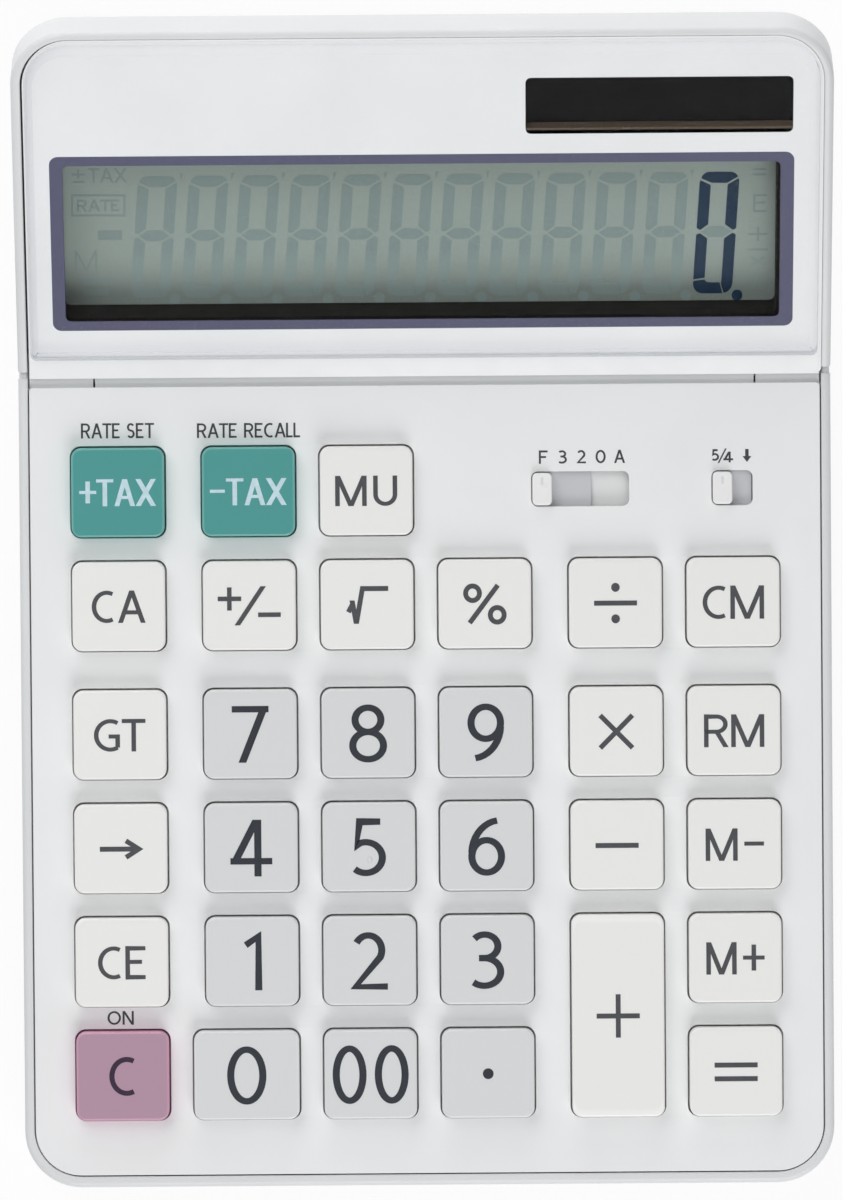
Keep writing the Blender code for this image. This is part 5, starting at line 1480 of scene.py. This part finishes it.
@dataclass
class Keyboard:
    """The top cover, the key caps with their legends, and the labels printed on the cover."""

    flange_edge: float = 0.65 * MM
    flange_thickness: float = 0.8 * MM
    cap_corner: float = 1.55 * MM
    cap_round: float = 0.38 * MM
    cap_wall: float = 1.2 * MM
    post_length: float = 0.4 * MM
    homing_offset: Point = (0.1 * MM, -1.9 * MM)
    hole_gap: float = 0.25 * MM
    hole_corner: float = 1.75 * MM
    cover_thickness: float = 0.9 * MM
    cover_growth: float = 0.09 * MM
    cover_edge: float = 0.12 * MM
    cover_front_corner: float = 7.2 * MM
    cover_rear_corner: float = 0.6 * MM
    slot_corner: float = 1.05 * MM
    cover_steps: int = 16
    corner_steps: int = 8
    round_steps: int = 5
    homing_radius: float = 0.45 * MM
    homing_rise: float = 0.5
    label_pen: Pen = Pen(0.32 * MM, 0.29 * MM)
    slash_pen: Pen = Pen(0.22 * MM, 0.22 * MM)

    def build(self) -> None:
        """Builds and dresses the keyboard."""
        self.face = KEYBOARD.box("top_cover")[1].z
        self.top_cover()
        for plan in KEY_PLANS:
            self.cap(plan)
            self.legend(plan)
        self.homing_dot()
        self.labels()

    def cap_box(self, name: str) -> tuple[Vector, Vector]:
        """Measures a key without its flange, from the end of its post up."""
        return grown(KEYBOARD.box("key_" + name), -self.flange_edge)

    def top_cover(self) -> None:
        """Builds the plate that the keys stand in."""
        rim = grown(KEYBOARD.box("top_cover"), self.cover_growth)
        front, rear = self.cover_front_corner, self.cover_rear_corner
        outlines = [round_rectangle(*rim, (front, front, rear, rear), self.cover_steps)]
        for plan in KEY_PLANS:
            hole = grown(self.cap_box(plan.name), self.hole_gap)
            outlines.append(round_rectangle(*hole, [self.hole_corner] * 4))
        for switch in SWITCHES:
            outlines.append(round_rectangle(*switch.slot_box(), [self.slot_corner] * 4))
        under = self.face - self.cover_thickness
        cover = plate("keyboard_cover", KEYBOARD, outlines, under, self.face, self.cover_edge)
        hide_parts("top_cover")
        dress(cover, [COVER_PLASTIC], Body.CASING)

    def cap(self, plan: KeyPlan) -> None:
        """Builds a hollow cap on its flange.

        Args:
            plan: The key.
        """
        low, high = self.cap_box(plan.name)
        wall, top = self.cap_wall, high.z
        bm = bmesh.new()
        edge = Vector((self.flange_edge, self.flange_edge))
        near, far = low.to_2d(), high.to_2d()
        bottom = KEYBOARD.box("key_" + plan.name)[0].z + self.post_length
        verts = add_block(bm, (*(near - edge), bottom), (*(far + edge), bottom + self.flange_thickness))
        bm.normal_update()
        upper = max(bm.faces, key=lambda face: face.calc_center_median().z)
        under = min(bm.faces, key=lambda face: face.calc_center_median().z)
        bmesh.ops.inset_region(bm, faces=[upper], thickness=self.flange_edge, use_even_offset=True)
        cap_verts = drawn_out(bm, upper, (0, 0, top - bottom - self.flange_thickness))
        bmesh.ops.delete(bm, geom=[upper], context="FACES_ONLY")
        bmesh.ops.inset_region(bm, faces=[under], thickness=self.flange_edge + wall, use_even_offset=True)
        drawn_out(bm, under, (0, 0, top - wall - bottom))
        bmesh.ops.delete(bm, geom=[under], context="FACES_ONLY")
        bevel(bm, uprights(cap_verts), self.cap_corner, self.corner_steps)
        bm.normal_update()
        rims = []
        for line in bm.edges:
            if len(line.link_faces) == 2 and min(vert.co.z for vert in line.verts) > top - WELD:
                if line.calc_face_angle(0) > RIM_ANGLE:
                    rims.append(line)
        bevel(bm, rims, self.cap_round, self.round_steps)
        cap = solid("keycap_" + plan.name, KEYBOARD, bm)
        self.centre_origin(cap, (low + high) / 2)
        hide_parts("key_" + plan.name)
        dress(cap, [plan.finish], f"key_{plan.name}_body")

    @staticmethod
    def centre_origin(piece: bpy.types.Object, centre: Vector) -> None:
        """Puts a piece's origin at its own centre on the keyboard bench, so that its grain follows it."""
        piece.data.transform(Matrix.Translation(-centre))
        piece.matrix_world = KEYBOARD.matrix @ Matrix.Translation(centre)

    def legend(self, plan: KeyPlan) -> None:
        """Writes a key's legend on its top.

        Args:
            plan: The key.
        """
        low, high = self.cap_box(plan.name)
        bm = bmesh.new()
        write(bm, plan.signs, middle(low, high), plan.size, plan.pen, high.z - INK_ROOT, high.z + INK_RISE)
        piece = solid(f"keycap_{plan.name}_legend", KEYBOARD, bm)
        dress(piece, [plan.ink], f"key_{plan.name}_body")

    def homing_dot(self) -> None:
        """Builds the raised dot that marks the middle key."""
        low, high = self.cap_box("5")
        bm = bmesh.new()
        bmesh.ops.create_uvsphere(bm, u_segments=24, v_segments=12, radius=self.homing_radius)
        bmesh.ops.scale(bm, verts=bm.verts, vec=(1, 1, self.homing_rise))
        x, y = middle(low, high)
        place = (x + self.homing_offset[0], y + self.homing_offset[1], high.z)
        bmesh.ops.translate(bm, verts=bm.verts, vec=place)
        dress(solid("homing_dot", KEYBOARD, bm), [GREY_KEY], "key_5_body")

    def labels(self) -> None:
        """Prints the small labels on the cover beside the keys and over the switches."""
        labels = {
            "rate_set": ("RATE SET", (81, 423, 154, 438.5)),
            "rate_recall": ("RATE RECALL", (197, 422.7, 300, 438)),
            "on": ("ON", (107.6, 1011, 133.7, 1024.8)),
            "float": ("F", (538.9, 450.5, 547.6, 463.8)),
            "three": ("3", (558.3, 450.3, 566.8, 463.6)),
            "two": ("2", (577.0, 450.1, 585.8, 463.4)),
            "none": ("0", (595.6, 449.9, 605.6, 463.2)),
            "add_mode": ("A", (614.1, 449.7, 625.0, 463.0)),
            "five": ("5", (711.7, 449.2, 719.0, 460.8)),
            "per": ("/", (717.6, 449.0, 726.6, 462.5)),
            "four": ("4", (723.4, 451.6, 733.0, 462.4)),
            "cut": (("down",), (742.6, 449.0, 751.2, 462.0)),
        }
        for name, (signs, pixels) in labels.items():
            centre, size = PHOTO.box(pixels, KEYBOARD, self.face)
            bm = bmesh.new()
            pen = self.slash_pen if name == "per" else self.label_pen
            write(bm, tuple(signs), centre, size, pen, self.face - INK_ROOT, self.face + INK_RISE)
            dress(solid("label_" + name, KEYBOARD, bm), [LABEL_INK], Body.CASING)


@dataclass(frozen=True)
class SlideSwitch:
    """A slide switch: its knob on a skirt, and the pale switch body under its slot."""

    node: str
    body: Body
    travel: float
    knob_size: Point = (3.1 * MM, 5.1 * MM)
    knob_rise: float = 1.0 * MM
    knob_root: float = 0.1 * MM
    knob_corner: float = 0.75 * MM
    knob_edge: float = 0.3 * MM
    end_gap: float = 0.15 * MM
    side_gap: float = 0.2 * MM
    skirt_edge: float = 0.1 * MM
    skirt_corner: float = 0.8 * MM
    skirt_height: float = 0.6 * MM
    pointer_size: Point = (0.40 * MM, 1.25 * MM)
    pointer_corner: float = 0.40 * MM / 2.1
    pointer_offset: float = 1.25 * MM
    floor_thickness: float = 0.2 * MM
    floor_gap: float = 0.05 * MM
    floor_margin: float = 0.6 * MM
    floor_corner: float = 0.8 * MM
    floor_edge: float = 0.03 * MM

    def centre(self) -> Vector:
        """The middle of the knob at rest, on the cover's face."""
        low, high = KEYBOARD.box(self.node)
        return Vector((*middle(low, high), KEYBOARD.box("top_cover")[1].z))

    def slot_box(self) -> tuple[Vector, Vector]:
        """Works out the slot in the cover.

        Returns:
            Its low and high corners.
        """
        half = Vector((self.knob_size[0] / 2 + self.end_gap, self.knob_size[1] / 2 + self.side_gap, 0))
        centre = self.centre()
        return centre - half, centre + half + Vector((self.travel, 0, 0))

    def build(self) -> None:
        """Builds and dresses the switch."""
        centre = self.centre()
        low, high = KEYBOARD.box(self.node)
        skirt_high = low.z + self.skirt_height
        outline = round_rectangle(low, high, [self.skirt_corner] * 4)
        skirt = plate(self.node + "_skirt", KEYBOARD, [outline], low.z, skirt_high, self.skirt_edge)
        dress(skirt, [SKIRT_PLASTIC], self.body)
        bm = bmesh.new()
        top = centre.z + self.knob_rise
        outline = round_rectangle(*around(centre, *self.knob_size), [self.knob_corner] * 4, 8)
        extruded(bm, outline, skirt_high - self.knob_root, top)
        bm.normal_update()
        rims = [line for line in bm.edges if min(vert.co.z for vert in line.verts) > top - WELD]
        bevel(bm, rims, self.knob_edge, 5)
        knob = solid(self.node + "_grip", KEYBOARD, bm)
        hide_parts(self.node)
        dress(knob, [KNOB_PLASTIC], self.body)
        self.pointer(centre, top)
        self.floor(low)

    def pointer(self, centre: Vector, top: float) -> None:
        """Marks the knob's pointer, a short line near its upper end, with a flat grey mark that paints the shade of the
        pointer's notch.

        Args:
            centre: The knob's middle.
            top: The height of its top.
        """
        corners = around((centre.x, centre.y + self.pointer_offset), *self.pointer_size)
        bm = bmesh.new()
        extruded(bm, round_rectangle(*corners, [self.pointer_corner] * 4, 4), top - INK_ROOT, top + INK_RISE)
        dress(solid(self.node + "_pointer", KEYBOARD, bm), [POINTER_NOTCH_SHADE], self.body)

    def floor(self, skirt_low: Vector) -> None:
        """Builds the pale top of the switch body, which shows where the skirt doesn't cover it.

        Args:
            skirt_low: The lowest corner of the skirt.
        """
        high = skirt_low.z - self.floor_gap
        outline = round_rectangle(*grown(self.slot_box(), self.floor_margin), [self.floor_corner] * 4)
        bottom = plate(self.node + "_floor", KEYBOARD, [outline], high - self.floor_thickness, high, self.floor_edge)
        dress(bottom, [SWITCH_PLASTIC], Body.CASING)


SWITCHES: tuple[SlideSwitch, ...] = (
    SlideSwitch("decimal_switch_knob", Body.DECIMAL_SWITCH, 12.0 * MM),
    SlideSwitch("rounding_switch_knob", Body.ROUNDING_SWITCH, 3.06 * MM),
)


# Display


@dataclass(frozen=True)
class DigitPlan:
    """A seven-segment digit, in pixels of the photograph from its upper left corner."""

    height: float = 121.7
    lean: float = 8.1
    segments: dict[str, tuple[Point, ...]] = field(default_factory=lambda: {
        "top": ((1.2, 6.6), (2.6, 3.6), (5.2, 1.2), (8.5, 0), (31.5, 0), (34.6, 1.0), (37.2, 3.2), (38.2, 4.8),
                (27.6, 11.2), (12.2, 11.2)),
        "upper_left": ((0.6, 8.4), (11.4, 13.4), (11.4, 52.5), (3.8, 58.4), (0, 56.3), (0, 11)),
        "upper_right": ((38.9, 6.4), (39.6, 9.5), (39.6, 56.3), (36.3, 58.2), (28.2, 52.5), (28.2, 12.8)),
        "middle": ((4.6, 60.0), (12.6, 54.2), (27.4, 54.2), (35.4, 59.8), (27.0, 65.2), (12.4, 65.2)),
        "lower_left": ((3.6, 61.4), (11.4, 66.8), (11.4, 106.0), (0, 107.8), (0, 63.2)),
        "lower_right": ((36.4, 61.0), (39.6, 63.0), (39.6, 111), (38.6, 115.5), (36, 119), (32.6, 120.9),
                        (31.4, 121.2), (27.8, 112.0), (28.2, 109.5), (28.2, 66.6)),
        "bottom": ((0, 109.4), (11.2, 107.8), (13, 109.8), (14.6, 110.6), (26.6, 110.6), (30.2, 121.6), (9, 121.7),
                   (4.8, 120.3), (1.6, 117), (0.2, 113)),
    })
    zero: tuple[str, ...] = ("top", "upper_left", "upper_right", "lower_left", "lower_right", "bottom")

    def placed(self, segment: str, left: float, upper: float) -> list[Point]:
        """A segment's outline in the photograph, for a digit whose upper left corner is at a pixel."""
        return [(left + x - y * self.lean / self.height, upper + y) for x, y in self.segments[segment]]


@dataclass
class DisplayHead:
    """The tilting display: its shell, covers, lens, prints, LCD and solar cell."""

    edge: float = 0.25 * MM
    cover_edge: float = 0.15 * MM
    cover_rear_corner: float = 7.2 * MM
    lip_reach: float = 0.27 * MM
    lip_depth: float = 0.08 * MM
    chamfer: float = 1.3 * MM
    chamfer_drop: float = 0.6 * MM
    chamfer_front_extra: float = 0.4 * MM
    lens_growth: float = 0.24 * MM
    lens_rear_corner: float = 6.5 * MM
    lens_front_corner: float = 1.0 * MM
    print_inset: float = 0.08 * MM
    print_lift: float = 0.03 * MM
    print_thickness: float = 0.05 * MM
    slate_outer_corner: float = 1.4 * MM
    window_corner: float = 0.9 * MM
    slate_edges: tuple[Sequence[float], ...] = ((49.2, 156.1, 795.1, 152.1), (52.5, 330.0, 791.8, 326.2))
    window_edges: tuple[Sequence[float], ...] = ((62.4, 165.6, 780.8, 161.5), (65.4, 320.8, 778.9, 316.8))
    solar_edges: tuple[Sequence[float], ...] = ((525.4, 77.5, 793.4, 75.9), (525.4, 133.7, 793.4, 131.9))
    segment_rise: float = 0.02 * MM
    strip_drop: float = 0.2 * MM
    strip_width: float = 0.4 * MM
    strip_foot: float = 0.42 * MM
    strip_edge: float = 0.03 * MM
    strip_ends: Point = (524.0, 794.5)
    strip_row: float = 133.0
    cell_corner: float = 0.3 * MM
    cell_edge: float = 0.05 * MM
    rim_depth: float = 0.1 * MM
    corner_steps: int = 14
    first_digit: Point = (138.2, 176.0)
    last_digit: Point = (700.3, 171.6)
    digit_count: int = 12
    point_offset: Point = (36.7, 123.4)
    point_radius: float = 5.4
    comma_offset: Point = (41.5, -2.5)
    comma_tick: tuple[Point, ...] = ((0.0, 0.0), (3.6, 0.0), (0.6, 8.0))
    mark_pen: Pen = Pen(0.34 * MM, 0.34 * MM)
    mark_frame: tuple[float, ...] = (72.0, 195.5, 124.5, 215.5)
    mark_blocks: tuple[tuple[float, ...], ...] = (
        (98.0, 230.5, 122.0, 240.0), (83.0, 278.5, 109.0, 284.5), (83.0, 289.5, 109.0, 295.5),
    )
    marks: dict[tuple[float, ...], Sequence[str]] = field(default_factory=lambda: {
        (72.0, 169.0, 84.5, 183.0): ("plus_minus",), (88.0, 168.0, 127.0, 183.0): "TAX",
        (77.0, 199.5, 119.0, 211.5): "RATE", (75.0, 250.5, 97.0, 270.5): "M", (753.0, 168.0, 766.0, 175.5): ("equals",),
        (753.0, 194.0, 767.0, 212.0): "E", (748.0, 225.5, 768.0, 243.0): ("plus",),
        (747.0, 248.5, 768.0, 250.5): ("subtract",), (750.0, 256.0, 766.0, 266.0): ("times",),
        (749.0, 272.0, 766.0, 290.0): ("percent",),
    })

    def build(self) -> None:
        """Builds and dresses the display."""
        self.shell()
        self.cover()
        self.lens()
        self.lcd()
        self.solar_cell()
        dress_node("lcd_frame", WELL_PLASTIC)
        dress_node("display_ribbon_cable", RIBBON_FILM)

    def shell(self) -> None:
        """Builds the rear shell with its rim eased."""
        low, high = DISPLAY.box("display_front_cover")
        top, front = high.z - self.rim_depth, low.y + MM
        shell = refined(
            "display_rear_shell", "display_shell", DISPLAY, self.edge, lambda place: place.z > top and place.y > front
        )
        dress(shell, [CASE_PLASTIC], Body.DISPLAY)

    def cover(self) -> None:
        """Builds the front cover with its edges eased."""
        top = DISPLAY.box("display_front_cover")[1].z - self.rim_depth
        cover = refined(
            "display_front_cover", "display_cover", DISPLAY, self.cover_edge, lambda place: place.z > top
        )
        dress(cover, [COVER_PLASTIC], Body.DISPLAY)
        self.cover_lip()

    def cover_lip(self) -> None:
        """Builds the low lip that closes the gap behind the front cover and at its right."""
        low, high = DISPLAY.box("display_front_cover")
        reach = Vector((self.lip_reach, self.lip_reach, 0))
        inner = (low + 2 * reach, high - reach)
        corner, sharp, steps = self.cover_rear_corner, self.window_corner, self.corner_steps
        outer = round_rectangle(low + reach / 2, high + reach, (sharp, sharp, corner + self.lip_reach, corner), steps)
        hole = round_rectangle(*inner, (sharp, sharp, corner, corner), steps)
        top = high.z - self.lip_depth
        lip = plate("display_cover_lip", DISPLAY, [outer, hole], top - 3 * self.lip_depth, top)
        dress(lip, [COVER_PLASTIC], Body.DISPLAY)

    def print_outline(self, upper: Sequence[float], lower: Sequence[float], corner: float) -> list[Point]:
        """An outline on the lens's back, from its upper and lower edges in the photograph.

        Args:
            upper: The pixels of its upper left and upper right corners.
            lower: The pixels of its lower left and lower right corners.
            corner: Its corner radius.

        Returns:
            The outline on the display bench.
        """
        height = DISPLAY.box("display_lens")[0].z
        spots = [PHOTO.spot(*pixel, DISPLAY, height) for pixel in (upper[:2], upper[2:], lower[:2], lower[2:])]
        half = (spots[1][0] - spots[0][0] + spots[3][0] - spots[2][0]) / 4
        centre = sum(spot[0] for spot in spots) / 4
        high = (spots[0][1] + spots[1][1]) / 2
        low = (spots[2][1] + spots[3][1]) / 2
        return round_rectangle((centre - half, low), (centre + half, high), [corner] * 4)

    def lens(self) -> None:
        """Builds the clear pane and the prints on its back."""
        low, high = grown(DISPLAY.box("display_lens"), self.lens_growth)
        front, rear = self.lens_front_corner, self.lens_rear_corner
        radii = (front, front, rear, rear)
        bm = bmesh.new()
        extruded(bm, round_rectangle(low, high, radii, self.corner_steps), low.z, high.z - self.chamfer_drop)
        bm.normal_update()
        top = max(bm.faces, key=lambda face: face.calc_center_median().z)
        bmesh.ops.inset_region(bm, faces=[top], thickness=self.chamfer, use_even_offset=True)
        bmesh.ops.translate(bm, verts=top.verts, vec=(0, 0, self.chamfer_drop))
        near = [vert for vert in top.verts if vert.co.y < (low.y + high.y) / 2]
        bmesh.ops.translate(bm, verts=near, vec=(0, self.chamfer_front_extra, 0))
        bm.normal_update()
        lens = solid("clear_pane", DISPLAY, bm)
        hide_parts("display_lens")
        dress(lens, [ClearPane(), PaneEdge()], Body.DISPLAY)
        for face in lens.data.polygons:
            face.material_index = 0 if abs(face.normal.z) > LEVEL_NORMAL else 1
        slate = self.print_outline(*self.slate_edges, self.slate_outer_corner)
        window = self.print_outline(*self.window_edges, self.window_corner)
        outer = round_rectangle(*grown((low, high), -self.print_inset), radii, self.corner_steps)
        bottom = low.z + self.print_lift
        pieces = (
            ("pane_white_print", [outer, slate, self.solar_outline()], PANE_PRINT),
            ("pane_slate_print", [slate, window], SLATE_PRINT),
        )
        for name, outlines, recipe in pieces:
            sheet = plate(name, DISPLAY, outlines, bottom, bottom + self.print_thickness)
            dress(sheet, [recipe], Body.DISPLAY)

    def solar_outline(self) -> list[Point]:
        """The outline of the clear window over the solar cell."""
        return self.print_outline(*self.solar_edges, self.window_corner)

    def lcd(self) -> None:
        """Builds the LCD's layer with its resting and its shown segments."""
        high = DISPLAY.box("lcd_glass")[1]
        self.cell_plate("lcd_plate", "lcd_glass", LCD_LAYER)
        plan = DigitPlan()
        ghost, shown = bmesh.new(), bmesh.new()
        for count in range(self.digit_count):
            part = count / (self.digit_count - 1)
            left, upper = (first + part * (end - first) for first, end in zip(self.first_digit, self.last_digit))
            last = count == self.digit_count - 1
            for segment in plan.segments:
                target = shown if last and segment in plan.zero else ghost
                self.add_pixels(target, plan.placed(segment, left, upper), high.z)
            dot = (left + self.point_offset[0], upper + self.point_offset[1])
            radii = (self.point_radius, self.point_radius)
            self.add_pixels(shown if last else ghost, disc(dot, radii, -1), high.z)
            if not last:
                comma = (left + self.comma_offset[0], upper + self.comma_offset[1])
                self.add_pixels(ghost, [(comma[0] + x, comma[1] + y) for x, y in self.comma_tick], high.z)
        self.add_marks(ghost, high.z)
        dress(solid("lcd_resting_segments", DISPLAY, ghost), [LCD_GHOST], Body.DISPLAY)
        dress(solid("lcd_shown_segments", DISPLAY, shown), [LCD_ACTIVE], Body.DISPLAY)

    def add_pixels(self, bm: bmesh.types.BMesh, pixels: Sequence[Point], height: float) -> None:
        """Adds a flat shape, given in pixels of the photograph, on the LCD's face."""
        points = [PHOTO.spot(x, y, DISPLAY, height) for x, y in pixels]
        extruded(bm, points, height - self.segment_rise, height + self.segment_rise)

    def add_marks(self, bm: bmesh.types.BMesh, height: float) -> None:
        """Adds the small resting marks at both ends of the LCD.

        Args:
            bm: The mesh that they are added to.
            height: The height of the LCD's face.
        """
        low, high = height - self.segment_rise, height + self.segment_rise
        for pixels, signs in self.marks.items():
            write(bm, tuple(signs), *PHOTO.box(pixels, DISPLAY, height), self.mark_pen, low, high)
        for block in self.mark_blocks:
            self.add_pixels(bm, box_corners(block), height)
        corners = [PHOTO.spot(x, y, DISPLAY, height) for x, y in box_corners(self.mark_frame)]
        ribbon(bm, [*corners, corners[0]], self.mark_pen, low, high, True)

    def cell_plate(self, name: str, node: str, recipe: Finish) -> None:
        """Builds a thin plate that stands for a CAD node of the display.

        Args:
            name: The piece's name.
            node: The node that it stands for.
            recipe: Its finish.
        """
        low, high = DISPLAY.box(node)
        outline = round_rectangle(low, high, [self.cell_corner] * 4, 3)
        cell = plate(name, DISPLAY, [outline], low.z, high.z, self.cell_edge)
        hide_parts(node)
        dress(cell, [recipe], Body.DISPLAY)

    def solar_cell(self) -> None:
        """Builds the solar cell under its window, with the sloping brown strip along its lower edge."""
        high = DISPLAY.box("solar_cell")[1]
        self.cell_plate("solar_plate", "solar_cell", SOLAR_FILM)
        left, right = (PHOTO.spot(x, self.strip_row, DISPLAY, high.z)[0] for x in self.strip_ends)
        edge = self.solar_outline()[0][1]
        upper = DISPLAY.box("display_lens")[0].z - self.strip_drop
        profile = [(edge - self.strip_width, high.z), (edge + self.strip_foot, high.z), (edge, upper),
                   (edge - self.strip_width, upper)]
        bm = bmesh.new()
        face = bm.faces.new([bm.verts.new((left, y, z)) for y, z in profile])
        drawn_out(bm, face, (right - left, 0, 0))
        bevel(bm, bm.edges, self.strip_edge, 2)
        dress(solid("solar_cell_strip", DISPLAY, bm), [WINDOW_SHADE], Body.DISPLAY)


# Stage


@dataclass(frozen=True)
class Lamp:
    """A soft square lamp aimed at the object."""

    name: str
    place: tuple[float, float, float]
    size: float
    power: float
    aim: tuple[float, float, float] = (0.0, 0.0, 0.02)

    def build(self) -> None:
        """Hangs the lamp."""
        data = bpy.data.lights.new(self.name, "AREA")
        data.shape = "SQUARE"
        data.size = self.size
        data.energy = self.power
        lamp = bpy.data.objects.new(self.name, data)
        lamp.location = self.place
        lamp.rotation_euler = (Vector(self.aim) - Vector(self.place)).to_track_quat("-Z", "Y").to_euler()
        bpy.context.scene.collection.objects.link(lamp)


@dataclass(frozen=True)
class Stage:
    """The pale floor, the lamps and the white surroundings."""

    floor_half: float = 3.0
    sky: float = 0.365
    lamps: tuple[Lamp, ...] = (
        Lamp("key_lamp", (0.20, -0.90, 0.62), 0.70, 5.8),
        Lamp("north_lamp", (-0.10, 1.05, 0.30), 0.60, 4.2),
        Lamp("side_lamp", (-0.30, 0.35, 0.55), 0.50, 1.6),
    )

    def build(self) -> None:
        """Sets the stage."""
        mesh = bpy.data.meshes.new("floor")
        bm = bmesh.new()
        bmesh.ops.create_grid(bm, x_segments=1, y_segments=1, size=self.floor_half)
        bm.to_mesh(mesh)
        bm.free()
        mesh.materials.append(PaleFloor().material())
        link("floor", mesh, DESK)
        for lamp in self.lamps:
            lamp.build()
        self.surroundings()
        bpy.context.scene.view_settings.view_transform = "Standard"

    def surroundings(self) -> None:
        """Lights the scene from all round and shows white behind it."""
        world = bpy.data.worlds.new("surroundings")
        world.use_nodes = True
        tree = world.node_tree
        shown = tree.nodes["Background"]
        shown.inputs["Color"].default_value = (1, 1, 1, 1)
        path = tree.nodes.new("ShaderNodeLightPath")
        level = tree.nodes.new("ShaderNodeMapRange")
        level.inputs["To Min"].default_value = self.sky
        level.inputs["To Max"].default_value = 1.0
        seen = path.outputs["Is Camera Ray"]
        for other in ("Is Glossy Ray", "Is Transmission Ray"):
            either = tree.nodes.new("ShaderNodeMath")
            either.operation = "MAXIMUM"
            tree.links.new(seen, either.inputs[0])
            tree.links.new(path.outputs[other], either.inputs[1])
            seen = either.outputs[0]
        tree.links.new(seen, level.inputs["Value"])
        tree.links.new(level.outputs["Result"], shown.inputs["Strength"])
        bpy.context.scene.world = world


def main() -> None:
    """Builds the calculator's pieces and the stage round it."""
    logging.basicConfig(level=logging.INFO, format="%(message)s")
    PHOTO.camera()
    Stage().build()
    Casing().build()
    Keyboard().build()
    for switch in SWITCHES:
        switch.build()
    DisplayHead().build()
    bpy.context.view_layer.update()


if __name__ == "__main__":
    main()
